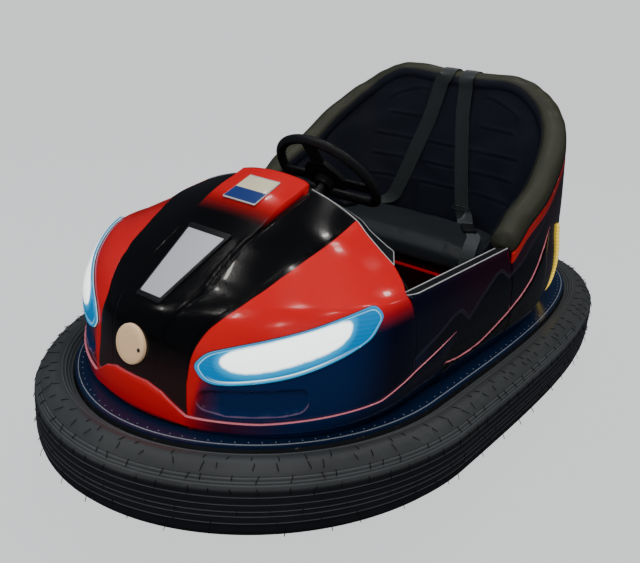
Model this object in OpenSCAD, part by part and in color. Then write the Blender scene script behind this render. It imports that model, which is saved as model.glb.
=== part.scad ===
// Two-seat bumper car: rubber bumper ring, moulded body, steered drive wheel in front
// and two plain rear wheels. The front faces -Y, the car's left is +X, the floor is Z = 0.

/* [Bumper ring] */
// Length over the bumper ring
bumper_length = 1950; // [1850:5:2100]
// Width over the bumper ring
bumper_width = 1158; // [1120:2:1220]
// Y of the ring's widest place
ring_mid_y = -317; // [-340:1:-290]
// Roundness of the ring's front half (2 is an ellipse)
ring_front_n = 1.96; // [1.9:0.02:2.2]
// Roundness of the ring's rear half
ring_rear_n = 3.32; // [2.8:0.02:3.6]
// Depth of the ring's section, tread to bead
ring_depth = 95; // [88:1:102]
// Height of the bead's inner face above the floor, lower and upper end
ring_face = [132, 255]; // [120:1:270]
// Steel band thickness behind the ring
band_t = 6; // [4:0.5:8]

/* [Body] */
// Wall thickness of the moulded body
shell_t = 6; // [4:0.5:8]
// Gap between the steel band and the body's widest place
body_gap = 13; // [8:1:18]
// Gap between the steel band and the nose
nose_gap = 47; // [35:1:60]
// Gap between the steel band and the tail
tail_gap = 84; // [70:1:100]
// Gap between neighbouring body panels
panel_gap = 0.5; // [0.3:0.1:0.8]
// Y where the side panels end and the rear body starts
rear_y = 70; // [50:2:90]
// Y of the front panels' rear edge at the sill
front_y = -410; // [-430:2:-400]
// Height of the sill's outer top edge
sill_high = 557; // [554:1:560]
// Inset of the sill's top edge from the side below it
sill_in = 13; // [10:1:16]
// Width of the sill's flat top
sill_width = 37; // [30:1:44]
// Thickness of the apron between body and bumper ring
apron_t = 5; // [3:0.5:6]
// How far the apron runs under the body's lower edge
apron_lap = 20; // [12:1:30]

/* [Padded rim] */
// Half-width of the padded rim's section
rim_half = 38; // [34:1:42]
// Half-height of the padded rim's section
rim_rise = 30; // [24:1:34]

/* [Seat] */
// Y of the seat box's front face
seat_front_y = 130; // [120:1:150]
// Height of the seat box's deck
deck_z = 402; // [380:1:410]
// Thickness of the seat cushion
cushion_t = 76; // [60:1:90]
// Distance from the body's widest place to the seat cushion
cushion_in = 161; // [153:1:175]
// Distance from the tail to the seat cushion's rear edge
cushion_back = 341; // [335:1:355]
// Thickness of the wrap-round backrest
backrest_t = 24; // [18:1:28]

/* [Floor and frame] */
// Height of the floor pan's underside
pan_z = 150; // [140:1:156]
// Thickness of the floor pan
pan_t = 4; // [3:0.5:5]
// Half the distance between the frame rails
rail_x = 220; // [205:1:235]
// Width and height of the frame rails
rail_size = [40, 30]; // [20:1:50]
// Length and depth of the lift pads under the rails
lift_pad = [80, 6]; // [4:1:100]

/* [Steering] */
// Centre of the steering wheel's rim
wheel_centre = [0, -155, 693]; // [-200:1:720]
// Lean of the steering axis from the vertical, in degrees
wheel_lean = 49.5; // [46:0.5:52]
// Radius of the steering wheel's rim, to the tube's middle
wheel_r = 147; // [135:1:155]
// Radius of the rim's tube
wheel_tube_r = 13.5; // [11:0.5:16]
// Distance of the rim's flat lower side from the wheel's centre
wheel_flat = 78; // [70:1:90]
// Radius of the steering shaft
shaft_r = 12; // [10:0.5:14]
// Radius of the steering column's tube
column_r = 20; // [18:0.5:24]

/* [Wheels] */
// Radius of the drive wheel
drive_r = 80; // [72:1:84]
// Width of the drive wheel
drive_w = 56; // [46:1:60]
// Y of the drive unit's upright axis
drive_y = -480; // [-500:1:-470]
// Radius of the rear wheels
rear_r = 70; // [62:1:72]
// Width of the rear wheels
rear_w = 50; // [40:1:54]
// Half the distance between the rear wheels' middles
rear_x = 330; // [310:1:340]
// Y of the rear axle
axle_y = 450; // [430:1:470]
// Radius of the axles
axle_r = 12; // [10:0.5:14]

/* [Hidden] */
$fn = 48;
fit = 0.3;       // gap between pieces of one body that seat on each other
run = 0.05;      // radial running clearance of a shaft in its bore
side_gap = 5;    // clear space beside a turning wheel
sill_drop = 10;  // fall of the sill's top towards the cockpit
sill_hook = 32;  // drop of the sill's inner edge below its outer top edge

// Body limits inside the bumper ring
body_half = bumper_width / 2 - ring_depth - band_t - body_gap;
nose_y = -(bumper_length / 2 - ring_depth - band_t - nose_gap);
tail_y = bumper_length / 2 - ring_depth - band_t - tail_gap;

// Stations of the front body from its lower edge to the hood's rear edge, forward of front_y.
// Columns: Y and Z on the centre line, X, Y and Z where hood and fender meet, X and Y of the
// fender's rear edge. Their widest and foremost places are fitted to body_half and nose_y.
FRONT_SHAPE = [
    [-412, 275, 150, -386, 275, 430, 0],
    [-417, 330, 147, -389, 330, 457, 0],
    [-412, 390, 143, -385, 390, 465, 0],
    [-403, 462, 144, -377, 452, 462, 0],
    [-385, 503, 149, -354, 492, 456, 0],
    [-350, 532, 165, -327, 520, 450, 0],
    [-305, 558, 185, -288, 546, 439, 0],
    [-282, 572, 194, -262, 560, 424, 0],
    [-260, 586, 205, -234, 575, 396, 25],
    [-210, 617, 216, -184, 598, 358, 44],
    [-155, 648, 228, -133, 621, 316, 49],
    [-65, 686, 245, -52, 651, 272, 50],
    [53, 728, 239, 53, 674, 241, 53]];
F_YC = 0;
F_ZC = 1;
F_XB = 2;
F_YB = 3;
F_ZB = 4;
F_XR = 5;
F_YR = 6;
front_wide = body_half / max([for (r = FRONT_SHAPE) r[F_XR]]);
front_long = (nose_y - front_y) / min([for (r = FRONT_SHAPE) r[F_YC]]);
FRONT = [for (r = FRONT_SHAPE) [
    front_y + r[F_YC] * front_long, r[F_ZC], r[F_XB] * front_wide, front_y + r[F_YB] * front_long,
    r[F_ZB], r[F_XR] * front_wide, front_y + r[F_YR] * front_long]];
front_last = len(FRONT) - 1;

// Rear body by height, fitted to body_half and tail_y. Columns: height, half-width, length
// behind rear_y, roundness.
REAR_SHAPE = [
    [275, 430, 705, 2.6],
    [330, 457, 720, 2.7],
    [390, 465, 713, 2.75],
    [452, 462, 694, 2.85],
    [520, 453, 663, 2.95],
    [600, 451, 630, 3.0],
    [750, 446, 565, 3.25],
    [850, 442, 525, 3.45],
    [920, 440, 495, 3.6],
    [960, 440, 480, 3.6]];
rear_wide = body_half / max([for (r = REAR_SHAPE) r[1]]);
rear_long = (tail_y - rear_y) / max([for (r = REAR_SHAPE) r[2]]);
REAR = [for (r = REAR_SHAPE) [r[0], r[1] * rear_wide, r[2] * rear_long, r[3]]];

// Height of the rear body's rim. Columns: angle round the rear body, height.
RIM = [[0, 565], [2.7, 597], [10.4, 655], [19.5, 703], [29.2, 742], [39.5, 788],
    [48.7, 841], [55.1, 884], [63, 907], [72.3, 920], [80, 919], [90, 906]];

// Angles at which the rear body's outlines are taken, denser at its corners
REAR_ANGLES = [0, 2, 4.5, 7.5, 11, 15, 20, 25, 30, 35, 40, 45, 50, 55, 60, 65, 70, 75, 80, 85, 90];

// Headlamp on the fender. Columns: place round the fender (0 rear edge, 1 hood), lower and upper height.
LAMP = [[0.255, 527, 545], [0.29, 500, 555], [0.36, 479, 553], [0.48, 452, 540], [0.61, 427, 519],
    [0.75, 408, 495], [0.88, 396, 471], [0.935, 402, 457], [0.965, 420, 437]];

// Air intake below the headlamp, an opening in the fender, with the same columns
INTAKE = [[0.55, 356, 388], [0.57, 348, 395], [0.75, 336, 390], [0.93, 328, 379], [0.95, 334, 370]];

// Crease along the body's sides, below which they stand out. Columns: Y behind rear_y, height.
CREASE = [[-324, 350], [-260, 340], [-199, 339], [-145, 345], [-92, 360], [-10, 384], [71, 415],
    [125, 440], [176, 475], [220, 515], [248, 557], [330, 600], [530, 660]];
crease_step = 5.5;
crease_soft = 2.5;   // half the height over which the side steps out

// Skirt round the front. Columns: place (0 nose, 1 hood's edge, 2 front_y, 3 its end on the side),
// lower and upper height, thickness.
SKIRT = [[0, 282, 367, 8.3], [0.35, 282, 366, 8.3], [0.62, 282, 352, 8.3], [1, 282, 311, 8], [1.3, 284, 318, 7],
    [1.45, 287, 328, 6.5], [1.6, 290, 337, 6], [1.8, 295, 347, 5.5], [1.9, 297, 368, 5], [2, 299, 385, 4.5],
    [2.35, 300, 399, 4], [2.7, 345, 413, 3], [3, 400, 424, 1.5]];
skirt_reach = 190;   // how far it runs behind front_y
skirt_seat = 1.7;    // gap between skirt and body

// Raised middle of the hood. Columns: station of FRONT, share of the hood's half-width.
HOOD_SEAM = [[0, 0.44], [1.5, 0.45], [2.8, 0.53], [3.8, 0.555], [4.9, 0.56], [6, 0.57], [8, 0.5],
    [9.3, 0.465], [10.3, 0.45], [11, 0.43], [12, 0.44]];
hood_rise = 4;

// Light strips on the rear quarters: heights of their ends and the angles there
strip_z = [290, 545];
strip_angle = [36, 21.5];

// The angles of both sides, left to right
both_angles = concat(REAR_ANGLES, [for (i = [len(REAR_ANGLES) - 2:-1:0]) 180 - REAR_ANGLES[i]]);

function unit(v) = v / norm(v);
function mix(a, b, f) = a * (1 - f) + b * f;
function column(table, key, value) = [for (row = table) [row[key], row[value]]];

// Value of a smooth curve through a table of two columns
function curve(x, table) = let(
    last = len(table) - 1,
    i = max([0, for (k = [0:last - 1]) if (table[k][0] <= x) k]),
    a = table[i],
    b = table[i + 1],
    wide = b[0] - a[0],
    before = i > 0 ? table[i - 1] : a,
    after = i + 2 <= last ? table[i + 2] : b,
    rise_a = (b[1] - before[1]) / (b[0] - before[0]) * wide,
    rise_b = (after[1] - a[1]) / (after[0] - a[0]) * wide,
    f = (x - a[0]) / wide)
    a[1] * (2 * pow(f, 3) - 3 * f * f + 1) + rise_a * (pow(f, 3) - 2 * f * f + f)
        + b[1] * (3 * f * f - 2 * pow(f, 3)) + rise_b * (pow(f, 3) - f * f);
function bent(v, n) = sign(v) * pow(max(abs(v), 1e-9), 2 / n);

// Point and outward normal of a superellipse with half-axes a and b at angle t
function oval(a, b, n, t) = [a * bent(cos(t), n), b * bent(sin(t), n)];
function oval_normal(a, b, n, p) = unit([
    sign(p.x) * pow(abs(p.x) / a, n - 1) / a, sign(p.y) * pow(abs(p.y) / b, n - 1) / b]);

// Outline of the bumper ring at angle t, moved inward by depth
function ring_point(t, depth) = let(
    front = sin(t) < 0,
    n = front ? ring_front_n : ring_rear_n,
    b = bumper_length / 2 + (front ? ring_mid_y : -ring_mid_y),
    p = oval(bumper_width / 2, b, n, t))
    [0, ring_mid_y] + p - depth * oval_normal(bumper_width / 2, b, n, p);
function ring_outline(depth) = [for (t = [0:5:355]) ring_point(t, depth)];

// Outline of the rear body at height z and angle t, moved inward by depth
function rear_point(t, z, depth) = let(
    a = curve(z, column(REAR, 0, 1)),
    b = curve(z, column(REAR, 0, 2)),
    n = lookup(z, column(REAR, 0, 3)),
    p = oval(a, b, n, t),
    q = [0, rear_y] + p - depth * oval_normal(a, b, n, p))
    [q.x, q.y, z];

// Rim height, and how much steeper than level the rim runs there
function mirrored(t) = t > 90 ? 180 - t : t;
function rim_z(t) = curve(mirrored(t), RIM);
function rim_path(t) = rear_point(t, rim_z(t), rim_half);
function rim_slope(t) = let(d = rim_path(min(t + 1.5, 180)) - rim_path(max(t - 1.5, 0)))
    norm(d) / norm([d.x, d.y]);
rim_drop = 5;

// Height under the padded rim at a depth from the body's outline
function under_rim(t, depth) = rim_z(t) - rim_drop
    - rim_slope(t) * rim_rise * sqrt(max(0, 1 - pow((depth - rim_half) / rim_half, 2)));

// Fender at a row of FRONT, from its rear edge (u = 0) to the hood (u = 1)
function fender_row(row, u) = let(
    end = acos(min(row[F_XB] / row[F_XR], 0.9995)),
    long = (row[F_YR] - row[F_YB]) / sin(end))
    [row[F_XR] * cos(u * end), row[F_YR] - long * sin(u * end), row[F_ZB]];
function front_at(z) = [for (i = [0:6]) i == F_ZB ? z : lookup(z, column(FRONT, F_ZB, i))];
function fender_point(z, u) = fender_row(front_at(z), u);

// Hood at a row of FRONT, across from right (-1) to left (1)
function hood_row(row, p) = [p * row[F_XB], mix(row[F_YC], row[F_YB], p * p), mix(row[F_ZC], row[F_ZB], p * p)];
function hood_at(s, p) = hood_row(mix(FRONT[floor(s)], FRONT[min(floor(s) + 1, front_last)], s - floor(s)), p);

// Direction into the front body from one of its points: level and square to its rear edge there
core = [0, -300, 400];
function inward(p) = let(f = min(1, max(0, (front_y - p.y) / 120)))
    unit([-p.x, (core.y - p.y) * f, core.z - p.z]);
function sunk(p, depth) = p + depth * inward(p);

// Half-width of the bumper ring at y, and its Y in front (-1) or behind (1) at x, inward by depth
function ring_half(y, depth) = lookup(y, [for (t = [-90:5:90]) let(p = ring_point(t, depth)) [p.y, p.x]]);
function ring_end(x, depth, side) = lookup(x, [for (t = [90:-5:0]) let(p = ring_point(side * t, depth)) [p.x, p.y]]);

// A closed sheet between two grids of points that lie face to face
module sheet(outer, inner) {
    m = len(outer);
    n = len(outer[0]);
    function id(i, j, side) = side * m * n + i * n + j;
    function quad(a, b, c, d) = [[a, b, c], [a, c, d]];
    i0 = floor(m / 2) - 1;
    j0 = floor(n / 2) - 1;
    a = outer[i0][j0];
    up = cross(outer[i0 + 1][j0] - a, outer[i0][j0 + 1] - a) * (a - inner[i0][j0]) > 0;
    faces = [
        for (i = [0:m - 2], j = [0:n - 2], side = [0, 1])
            each side == 0
                ? quad(id(i, j, 0), id(i, j + 1, 0), id(i + 1, j + 1, 0), id(i + 1, j, 0))
                : quad(id(i, j, 1), id(i + 1, j, 1), id(i + 1, j + 1, 1), id(i, j + 1, 1)),
        for (i = [0:m - 2])
            each quad(id(i, 0, 1), id(i, 0, 0), id(i + 1, 0, 0), id(i + 1, 0, 1)),
        for (i = [0:m - 2])
            each quad(id(i, n - 1, 0), id(i, n - 1, 1), id(i + 1, n - 1, 1), id(i + 1, n - 1, 0)),
        for (j = [0:n - 2])
            each quad(id(0, j, 0), id(0, j, 1), id(0, j + 1, 1), id(0, j + 1, 0)),
        for (j = [0:n - 2])
            each quad(id(m - 1, j, 1), id(m - 1, j, 0), id(m - 1, j + 1, 0), id(m - 1, j + 1, 1))];
    polyhedron(
        [for (grid = [outer, inner], row = grid, p = row) p],
        up ? faces : [for (f = faces) [f[2], f[1], f[0]]]);
}

// A tube through a list of closed sections, joined end to start if looped
module tube(sections, looped = false) {
    m = len(sections);
    n = len(sections[0]);
    last = looped ? m - 1 : m - 2;
    function id(i, j) = (i % m) * n + (j % n);
    a = sections[0];
    c = [for (k = [0:2]) [for (p = a) 1] * [for (p = a) p[k]] / n];
    out = cross(sections[1][0] - a[0], a[1] - a[0]) * (a[0] - c) > 0;
    faces = [
        for (i = [0:last], j = [0:n - 1])
            each [[id(i, j), id(i, j + 1), id(i + 1, j + 1)], [id(i, j), id(i + 1, j + 1), id(i + 1, j)]],
        if (!looped) for (j = [1:n - 2]) each [
            [id(0, 0), id(0, j + 1), id(0, j)],
            [id(m - 1, 0), id(m - 1, j), id(m - 1, j + 1)]]];
    polyhedron(
        [for (section = sections, p = section) p],
        out ? faces : [for (f = faces) [f[2], f[1], f[0]]]);
}

module both_sides() {
    children();
    mirror([1, 0, 0]) children();
}

// Profile in X and Z, extruded along Y from y0 to y1
module along_y(y0, y1) {
    translate([0, y1, 0]) rotate([90, 0, 0]) linear_extrude(y1 - y0) children();
}

// Direction to the right of a path of X and Z points
function path_normal(path, i) = let(
    a = path[max(i - 1, 0)], b = path[min(i + 1, len(path) - 1)], d = unit(b - a)) [d.y, -d.x];

// Bumper ring
ring_low = ring_face[0];
ring_high = ring_face[1];
// Section of the ring. Columns: depth from the tread, height.
RING_SECTION = [
    [0, ring_low + 18], [0, ring_high - 30], [6, ring_high - 11], [20, ring_high + 9], [45, ring_high + 25],
    [70, ring_high + 21], [ring_depth - 3, ring_high + 6], [ring_depth, ring_high - 4],
    [ring_depth, ring_low], [ring_depth - 4, ring_low - 12], [68, ring_low - 24], [42, ring_low - 27],
    [18, ring_low - 19], [5, ring_low - 3]];

module bumper_tyre() {
    color("dimgray") tube([for (t = [0:5:355])
        [for (p = RING_SECTION) let(q = ring_point(t, p[0])) [q.x, q.y, p[1]]]], looped = true);
}

band_depth = ring_depth + fit;
apron_z = FRONT[0][F_ZC] - fit - apron_t;

module bumper_band() {
    color("slategray") translate([0, 0, ring_low - 8]) linear_extrude(apron_z - fit - ring_low + 8)
        difference() {
            polygon(ring_outline(band_depth));
            polygon(ring_outline(band_depth + band_t));
        }
}

// Outline of the body's lower edge, moved inward by depth
sill_edge = [FRONT[5][F_XR] - sill_in, sill_high];
base_front = FRONT[0];
base_long = (base_front[F_YR] - base_front[F_YB]) / sin(acos(base_front[F_XB] / base_front[F_XR]));
function base_outline(depth) = concat(
    [for (t = both_angles) let(p = rear_point(t, REAR[0][0], depth)) [p.x, p.y]],
    [for (t = [180:7.5:360]) [
        (base_front[F_XR] - depth) * cos(t), front_y + (base_long - depth) * sin(t)]]);

module apron() {
    color("black") translate([0, 0, apron_z]) linear_extrude(apron_t) difference() {
        polygon(ring_outline(band_depth));
        polygon(base_outline(apron_lap));
    }
}

swivel_hole_r = 120;
module floor_pan() {
    color("dimgray") translate([0, 0, pan_z]) linear_extrude(pan_t) difference() {
        polygon(ring_outline(band_depth + band_t + fit));
        translate([0, drive_y]) circle(swivel_hole_r);
    }
}

// Ladder frame: two rails and four cross members that reach out to the steel band
band_inner = band_depth + band_t;
frame_gap = 6;
CROSS_YS = [-640, -260, 250, 660];
module chassis_frame() {
    rail_z = pan_z - fit - rail_size[1];
    rail_out = rail_x + rail_size[0] / 2;
    rail_front = ring_end(rail_out, band_inner, -1) + frame_gap;
    rail_rear = ring_end(rail_out, band_inner, 1) - frame_gap;
    half = rail_size[0] / 2;
    color("darkslategray") {
        both_sides() translate([rail_x - half, rail_front, rail_z])
            cube([rail_size[0], rail_rear - rail_front, rail_size[1]]);
        for (y = CROSS_YS) let(
            wide = min(ring_half(y - half, band_inner), ring_half(y + half, band_inner)) - frame_gap)
            translate([-wide, y - half, rail_z]) cube([2 * wide, rail_size[0], rail_size[1]]);
        both_sides() translate([rail_x - half, -lift_pad[0] / 2, rail_z - lift_pad[1]])
            cube([rail_size[0], lift_pad[0], lift_pad[1] + 1]);
    }
}

// Inner wall of the footwell, U-shaped round the driver's feet
liner_t = 4;
liner_half = sill_edge[0] - sill_width - fit;
liner_mid = -300;
liner_long = liner_mid - nose_y - 127;
function liner_plan() = concat(
    [[liner_half, seat_front_y - fit]],
    [for (t = [360:-7.5:180]) [0, liner_mid] + oval(liner_half, liner_long, 2.3, t)],
    [[-liner_half, seat_front_y - fit]]);
liner_high = sill_edge[1] - sill_hook - fit;
liner_dip = 125;
function liner_top(y) = liner_high - liner_dip * min(1, max(0, (front_y - y) / (front_y - liner_mid + liner_long)));
module cockpit_liner() {
    plan = liner_plan();
    low = pan_z + pan_t + fit;
    function level(p, z) = [p.x, p.y, z];
    function in(p) = [p.x * (1 - liner_t / liner_half), p.y < liner_mid ? p.y + liner_t * (liner_mid - p.y) / liner_long : p.y];
    color("black") sheet(
        [for (p = plan) [level(p, low), level(p, (low + liner_top(p.y)) / 2), level(p, liner_top(p.y))]],
        [for (p = plan) [level(in(p), low), level(in(p), (low + liner_top(p.y)) / 2), level(in(p), liner_top(p.y))]]);
}

function seam(s) = lookup(s, HOOD_SEAM);
module hood_panel() {
    edge = 1 - panel_gap / FRONT[2][F_XB];
    soft = 0.02;
    function half_shares(s) = [edge, (edge + seam(s)) / 2, seam(s) + soft, seam(s) - soft, seam(s) / 2];
    function shares(s) = concat([for (p = half_shares(s)) -p], [0], reversed(half_shares(s)));
    function lift(s, p) = abs(p) < seam(s) ? hood_rise * min(1, max(0, s - 2)) : 0;
    function face(depth) = [for (s = [0:front_last]) [for (p = shares(s)) sunk(hood_row(FRONT[s], p), depth - lift(s, p))]];
    color("black") sheet(face(0), face(shell_t));
}

module fender() {
    rows = concat([for (i = [0:front_last - 1]) FRONT[i]],
        [mix(FRONT[front_last - 1], FRONT[front_last], 0.95)]);
    grid = [for (row = rows) [for (i = [0:12]) fender_row(row, i / 12)]];
    difference() {
        sheet(grid, [for (line = grid) [for (p = line) sunk(p, shell_t)]]);
        fender_patch(INTAKE, -shell_t - 4, 6, 10);
    }
}
module fender_left() {
    color("red") fender();
}
module fender_right() {
    color("red") mirror([1, 0, 0]) fender();
}

// Point of the body's face at a place round the front, as SKIRT has it
function skin_point(w, z) = w < 1 ? hood_at(lookup(z, [for (i = [0:3]) [FRONT[i][F_ZC], i]]), w)
    : w < 2 ? fender_point(z, 2 - w)
    : [side_x(z), front_y + (w - 2) * skirt_reach, z];

// Raised skirt: the chin on the nose, then a band that rises along the fenders to the sides
module nose_lip() {
    knees = [FRONT[1][F_ZB], FRONT[2][F_ZB]];
    places = concat([for (i = [1:5]) i / 6], [for (i = [0:12]) 1 + i / 12], [2.2, 2.4, 2.6, 2.8, 2.98]);
    function row(w, k) = lookup(w, column(SKIRT, 0, k));
    function levels(low, high) = let(a = min(max(knees[0], low + 3), high - 9), b = min(max(knees[1], a + 3), high - 3))
        [low, a, b, high];
    function line(w, depth) = [for (z = levels(row(w, 1), row(w, 2))) sunk(skin_point(w, z), -skirt_seat - depth * row(w, 3))];
    function face(depth) = concat(
        [for (i = [len(places) - 1:-1:0]) [for (p = line(places[i], depth)) [-p.x, p.y, p.z]]],
        [line(0, depth)], [for (w = places) line(w, depth)]);
    color("red") sheet(face(1), face(0));
}

// Raised instrument hump on the hood's rear
binnacle_t = 12;
binnacle_stations = [9.95, 10, 10.3, 10.6, 11, 11.35, 11.7, 12];
hood_up = [0, -0.4, 0.9];
module binnacle() {
    first = binnacle_stations[0];
    under = hood_rise + 2 * fit;
    function half(s) = seam(s) - 0.04;
    function rise(s, q) = under + binnacle_t * min(1, (s - first + 0.05) / 0.6) * (abs(q) < 1 ? 1 : 0.35);
    grid = [for (s = binnacle_stations) [for (q = [-5:5]) [s, q / 5]]];
    color("red") sheet(
        [for (line = grid) [for (g = line) hood_at(g[0], g[1] * half(g[0])) + rise(g[0], g[1]) * hood_up]],
        [for (line = grid) [for (g = line) hood_at(g[0], g[1] * half(g[0])) + under * hood_up]]);
}

// Sides: from the lower edge over the crease to the sill's top and its inner edge
side_low = [for (i = [0:5]) [FRONT[i][F_XR], FRONT[i][F_ZB]]];
sill_path = [sill_edge + [1, -sill_drop], sill_edge, sill_edge + [-sill_width, -sill_drop], sill_edge + [-sill_width, -sill_hook]];
crease_fade = 40;
function side_x(z) = lookup(z, [for (p = side_low) [p[1], p[0]]]);
function crease_z(y) = lookup(y - rear_y, CREASE);
function side_path(y) = let(
    c = crease_z(y),
    out = crease_step * min(1, max(0, (y - rear_y - CREASE[0][0]) / crease_fade)))
    concat(
        [for (z = [side_low[0][1], side_low[1][1], c - crease_soft]) [side_x(z) + out, z]],
        [for (z = [c + crease_soft, max(side_low[2][1], c + 3 * crease_soft)]) [side_x(z), z]],
        [for (i = [3:5]) side_low[i]], sill_path);
module side_panel() {
    ys = concat([front_y + panel_gap], [for (r = CREASE) if (r[0] < -20) rear_y + r[0]], [rear_y - panel_gap]);
    function line(y, depth) = let(path = side_path(y))
        [for (i = [0:len(path) - 1]) let(p = path[i] - depth * path_normal(path, i)) [p.x, y, p.y]];
    sheet([for (y = ys) line(y, 0)], [for (y = ys) line(y, shell_t)]);
}
module side_left() {
    color("maroon") side_panel();
}
module side_right() {
    color("maroon") mirror([1, 0, 0]) side_panel();
}

function strip_turn(z) = mix(strip_angle[0], strip_angle[1], (z - strip_z[0]) / (strip_z[1] - strip_z[0]));
module rear_body() {
    below = 3;    // rows of facets below the crease and above it
    above = 6;
    clear = 6;    // degrees left flat in front of the light strip
    function crease(t) = crease_z(rear_point(t, sill_high - 100, 0).y);
    function top(t) = under_rim(t, shell_t) - 3 * fit;
    function heights(t) = concat(
        [for (k = [0:below]) mix(REAR[0][0], crease(t) - crease_soft, k / below)],
        [for (k = [0:above]) mix(crease(t) + crease_soft, top(t), k / above)]);
    function out(t, z) = z < crease(t) && mirrored(t) < strip_turn(z) - clear ? crease_step : 0;
    function line(t, depth) = [for (z = heights(t)) rear_point(t, z, depth - out(t, z))];
    color("maroon") sheet([for (t = both_angles) line(t, 0)], [for (t = both_angles) line(t, shell_t)]);
}

module rim_pad() {
    function section(t) = let(
        mid = rim_path(t) - [0, 0, rim_drop],
        edge = rear_point(t, rim_z(t), 0) - rim_path(t),
        side = unit([edge.x, edge.y, 0]))
        [for (a = [0:30:330]) mid + rim_half * cos(a) * side
            + [0, 0, rim_rise * rim_slope(t) * sin(a)]];
    color([0.16, 0.15, 0.14]) tube([for (t = both_angles) section(t)]);
}

// Rear edge of hood and fenders as X and Z points, shrunk towards the cockpit
function arch(shrink) = let(half = [for (i = [8:front_last]) [FRONT[i][F_XR], FRONT[i][F_ZB]]],
    k = 1 - shrink / 300)
    concat([for (p = half) [p[0] * k, p[1] - shrink * 0.8]],
        [for (q = [2:-1:0]) let(p = hood_row(FRONT[front_last], q / 3)) [p.x * k, p.z - shrink]]);
function mirrored_path(half) = concat(half, [for (i = [len(half) - 2:-1:0]) [-half[i][0], half[i][1]]]);

dash_y = -345;
dash_t = 6;
module dash_panel() {
    low = 450;
    color("black") difference() {
        along_y(dash_y, dash_y + dash_t) polygon(concat(
            [[-liner_half + liner_t + 2.4, low], [liner_half - liner_t - 2.4, low],
                [liner_half - liner_t - 2.4, 535]], mirrored_path(arch(20)),
            [[-liner_half + liner_t + 2.4, 535]]));
        on_column() cylinder(r = column_r + fit, h = 600, center = true);
    }
}

// Lip behind the rear edge of hood and fenders: steep in the middle, level at its cut ends.
// Columns: share of the way across, or station of the fender's edge, then how far it reaches.
LIP_ENDS = [[9, -45, 66, 6], [10, -36, 60, -2], [11, -28, 54, -10]];
LIP_MIDDLE = [[1, -20, 50, -15], [0.67, -8, 50, -24], [0.33, -3, 50, -28], [0, 0, 50, -28]];
lip_thick = 5;
module dash_lip() {
    function reach(row) = [row[1], row[2], row[3]];
    half = concat(
        [for (row = LIP_ENDS) let(r = FRONT[row[0]]) [[r[F_XR], r[F_YR], r[F_ZB]], reach(row)]],
        [for (row = LIP_MIDDLE) [hood_row(FRONT[front_last], row[0]), reach(row)]]);
    function flip(v) = [-v.x, v.y, v.z];
    full = concat(half, [for (i = [len(half) - 2:-1:0]) [for (v = half[i]) flip(v)]]);
    function line(place, drop) = [for (f = [0:0.25:1]) place[0] + f * place[1] + [0, panel_gap, -drop]];
    color("black") sheet([for (place = full) line(place, 0)], [for (place = full) line(place, lip_thick)]);
}

// Seat
cushion_half = body_half - cushion_in;
cushion_rear_y = tail_y - cushion_back;
function pad_foot(t, depth) = let(b = cushion_rear_y - rear_y, p = oval(cushion_half, b, 3.6, t),
    q = [0, rear_y] + p + depth * oval_normal(cushion_half, b, 3.6, p)) [q.x, q.y];

module seat_box() {
    low = pan_z + pan_t + fit;
    deck_t = 5;
    wide = liner_half - liner_t;
    deck_edge = [for (t = both_angles) let(p = rear_point(t, deck_z, shell_t + 4)) [p.x, p.y]];
    color("red") {
        translate([0, 0, deck_z - deck_t]) linear_extrude(deck_t) polygon(concat(
            [[-sill_edge[0] + 40, seat_front_y], [sill_edge[0] - 40, seat_front_y]],
            [for (p = deck_edge) if (p.y > seat_front_y + 10) p]));
        translate([-wide, seat_front_y, low]) cube([2 * wide, 5, deck_z - low]);
    }
}

module seat_cushion() {
    color([0.1, 0.1, 0.11]) translate([0, 0, deck_z + fit]) linear_extrude(cushion_t) polygon(concat(
        [[-cushion_half + 1, seat_front_y + 4], [cushion_half - 1, seat_front_y + 4]],
        [for (t = both_angles) let(p = pad_foot(t, -1)) if (p.y > seat_front_y + 10) p]));
}

module seat_back() {
    color([0.12, 0.12, 0.13]) sheet(
        [for (t = pad_angles) pad_line(t, backrest_t)], [for (t = pad_angles) pad_line(t, 0)]);
}

// Place on the backrest's face: X and the fraction of its height, moved off the face by lift
function pad_line(t, back) = let(
    top = rear_point(t, rim_z(t), 2 * rim_half - back),
    foot = pad_foot(t, fit + back),
    high = [top.x, top.y, under_rim(t, rim_half) - 2],
    low = [foot.x, foot.y, deck_z + fit])
    [for (f = [0:0.125:1]) mix(low, high, f)];
pad_angles = [for (t = both_angles) if (t > 1 && t < 179) t];
function pad_place(x, f, lift) = let(
    k = f * 8,
    spots = [for (i = [len(pad_angles) - 1:-1:0]) let(line = pad_line(pad_angles[i], 0))
        mix(line[floor(k)], line[min(floor(k) + 1, 8)], k - floor(k))])
    [x, lookup(x, [for (p = spots) [p.x, p.y]]) - lift, lookup(x, [for (p = spots) [p.x, p.z]])];

// Webbing down the backrest. Columns: fraction of the backrest's height, X of the band's middle.
BELT_LEFT = [[0.97, 44], [0.8, 52], [0.6, 62], [0.4, 78], [0.24, 96]];
BELT_RIGHT = [[0.97, -36], [0.8, -55], [0.6, -92], [0.4, -140], [0.24, -180]];
belt_w = 48;
belt_t = 3;
module belt(path) {
    function row(f, lift) = [for (q = [-1, 0, 1]) pad_place(lookup(f, reversed(path)) + q * belt_w / 2, f, lift)];
    steps = [for (f = [0.24:0.073:0.97]) f];
    sheet([for (f = steps) row(f, belt_t + 2 * fit)], [for (f = steps) row(f, 2 * fit)]);
}
function reversed(list) = [for (i = [len(list) - 1:-1:0]) list[i]];
module belt_left() {
    color([0.08, 0.08, 0.09]) belt(BELT_LEFT);
}
module belt_right() {
    color([0.08, 0.08, 0.09]) belt(BELT_RIGHT);
}

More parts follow.
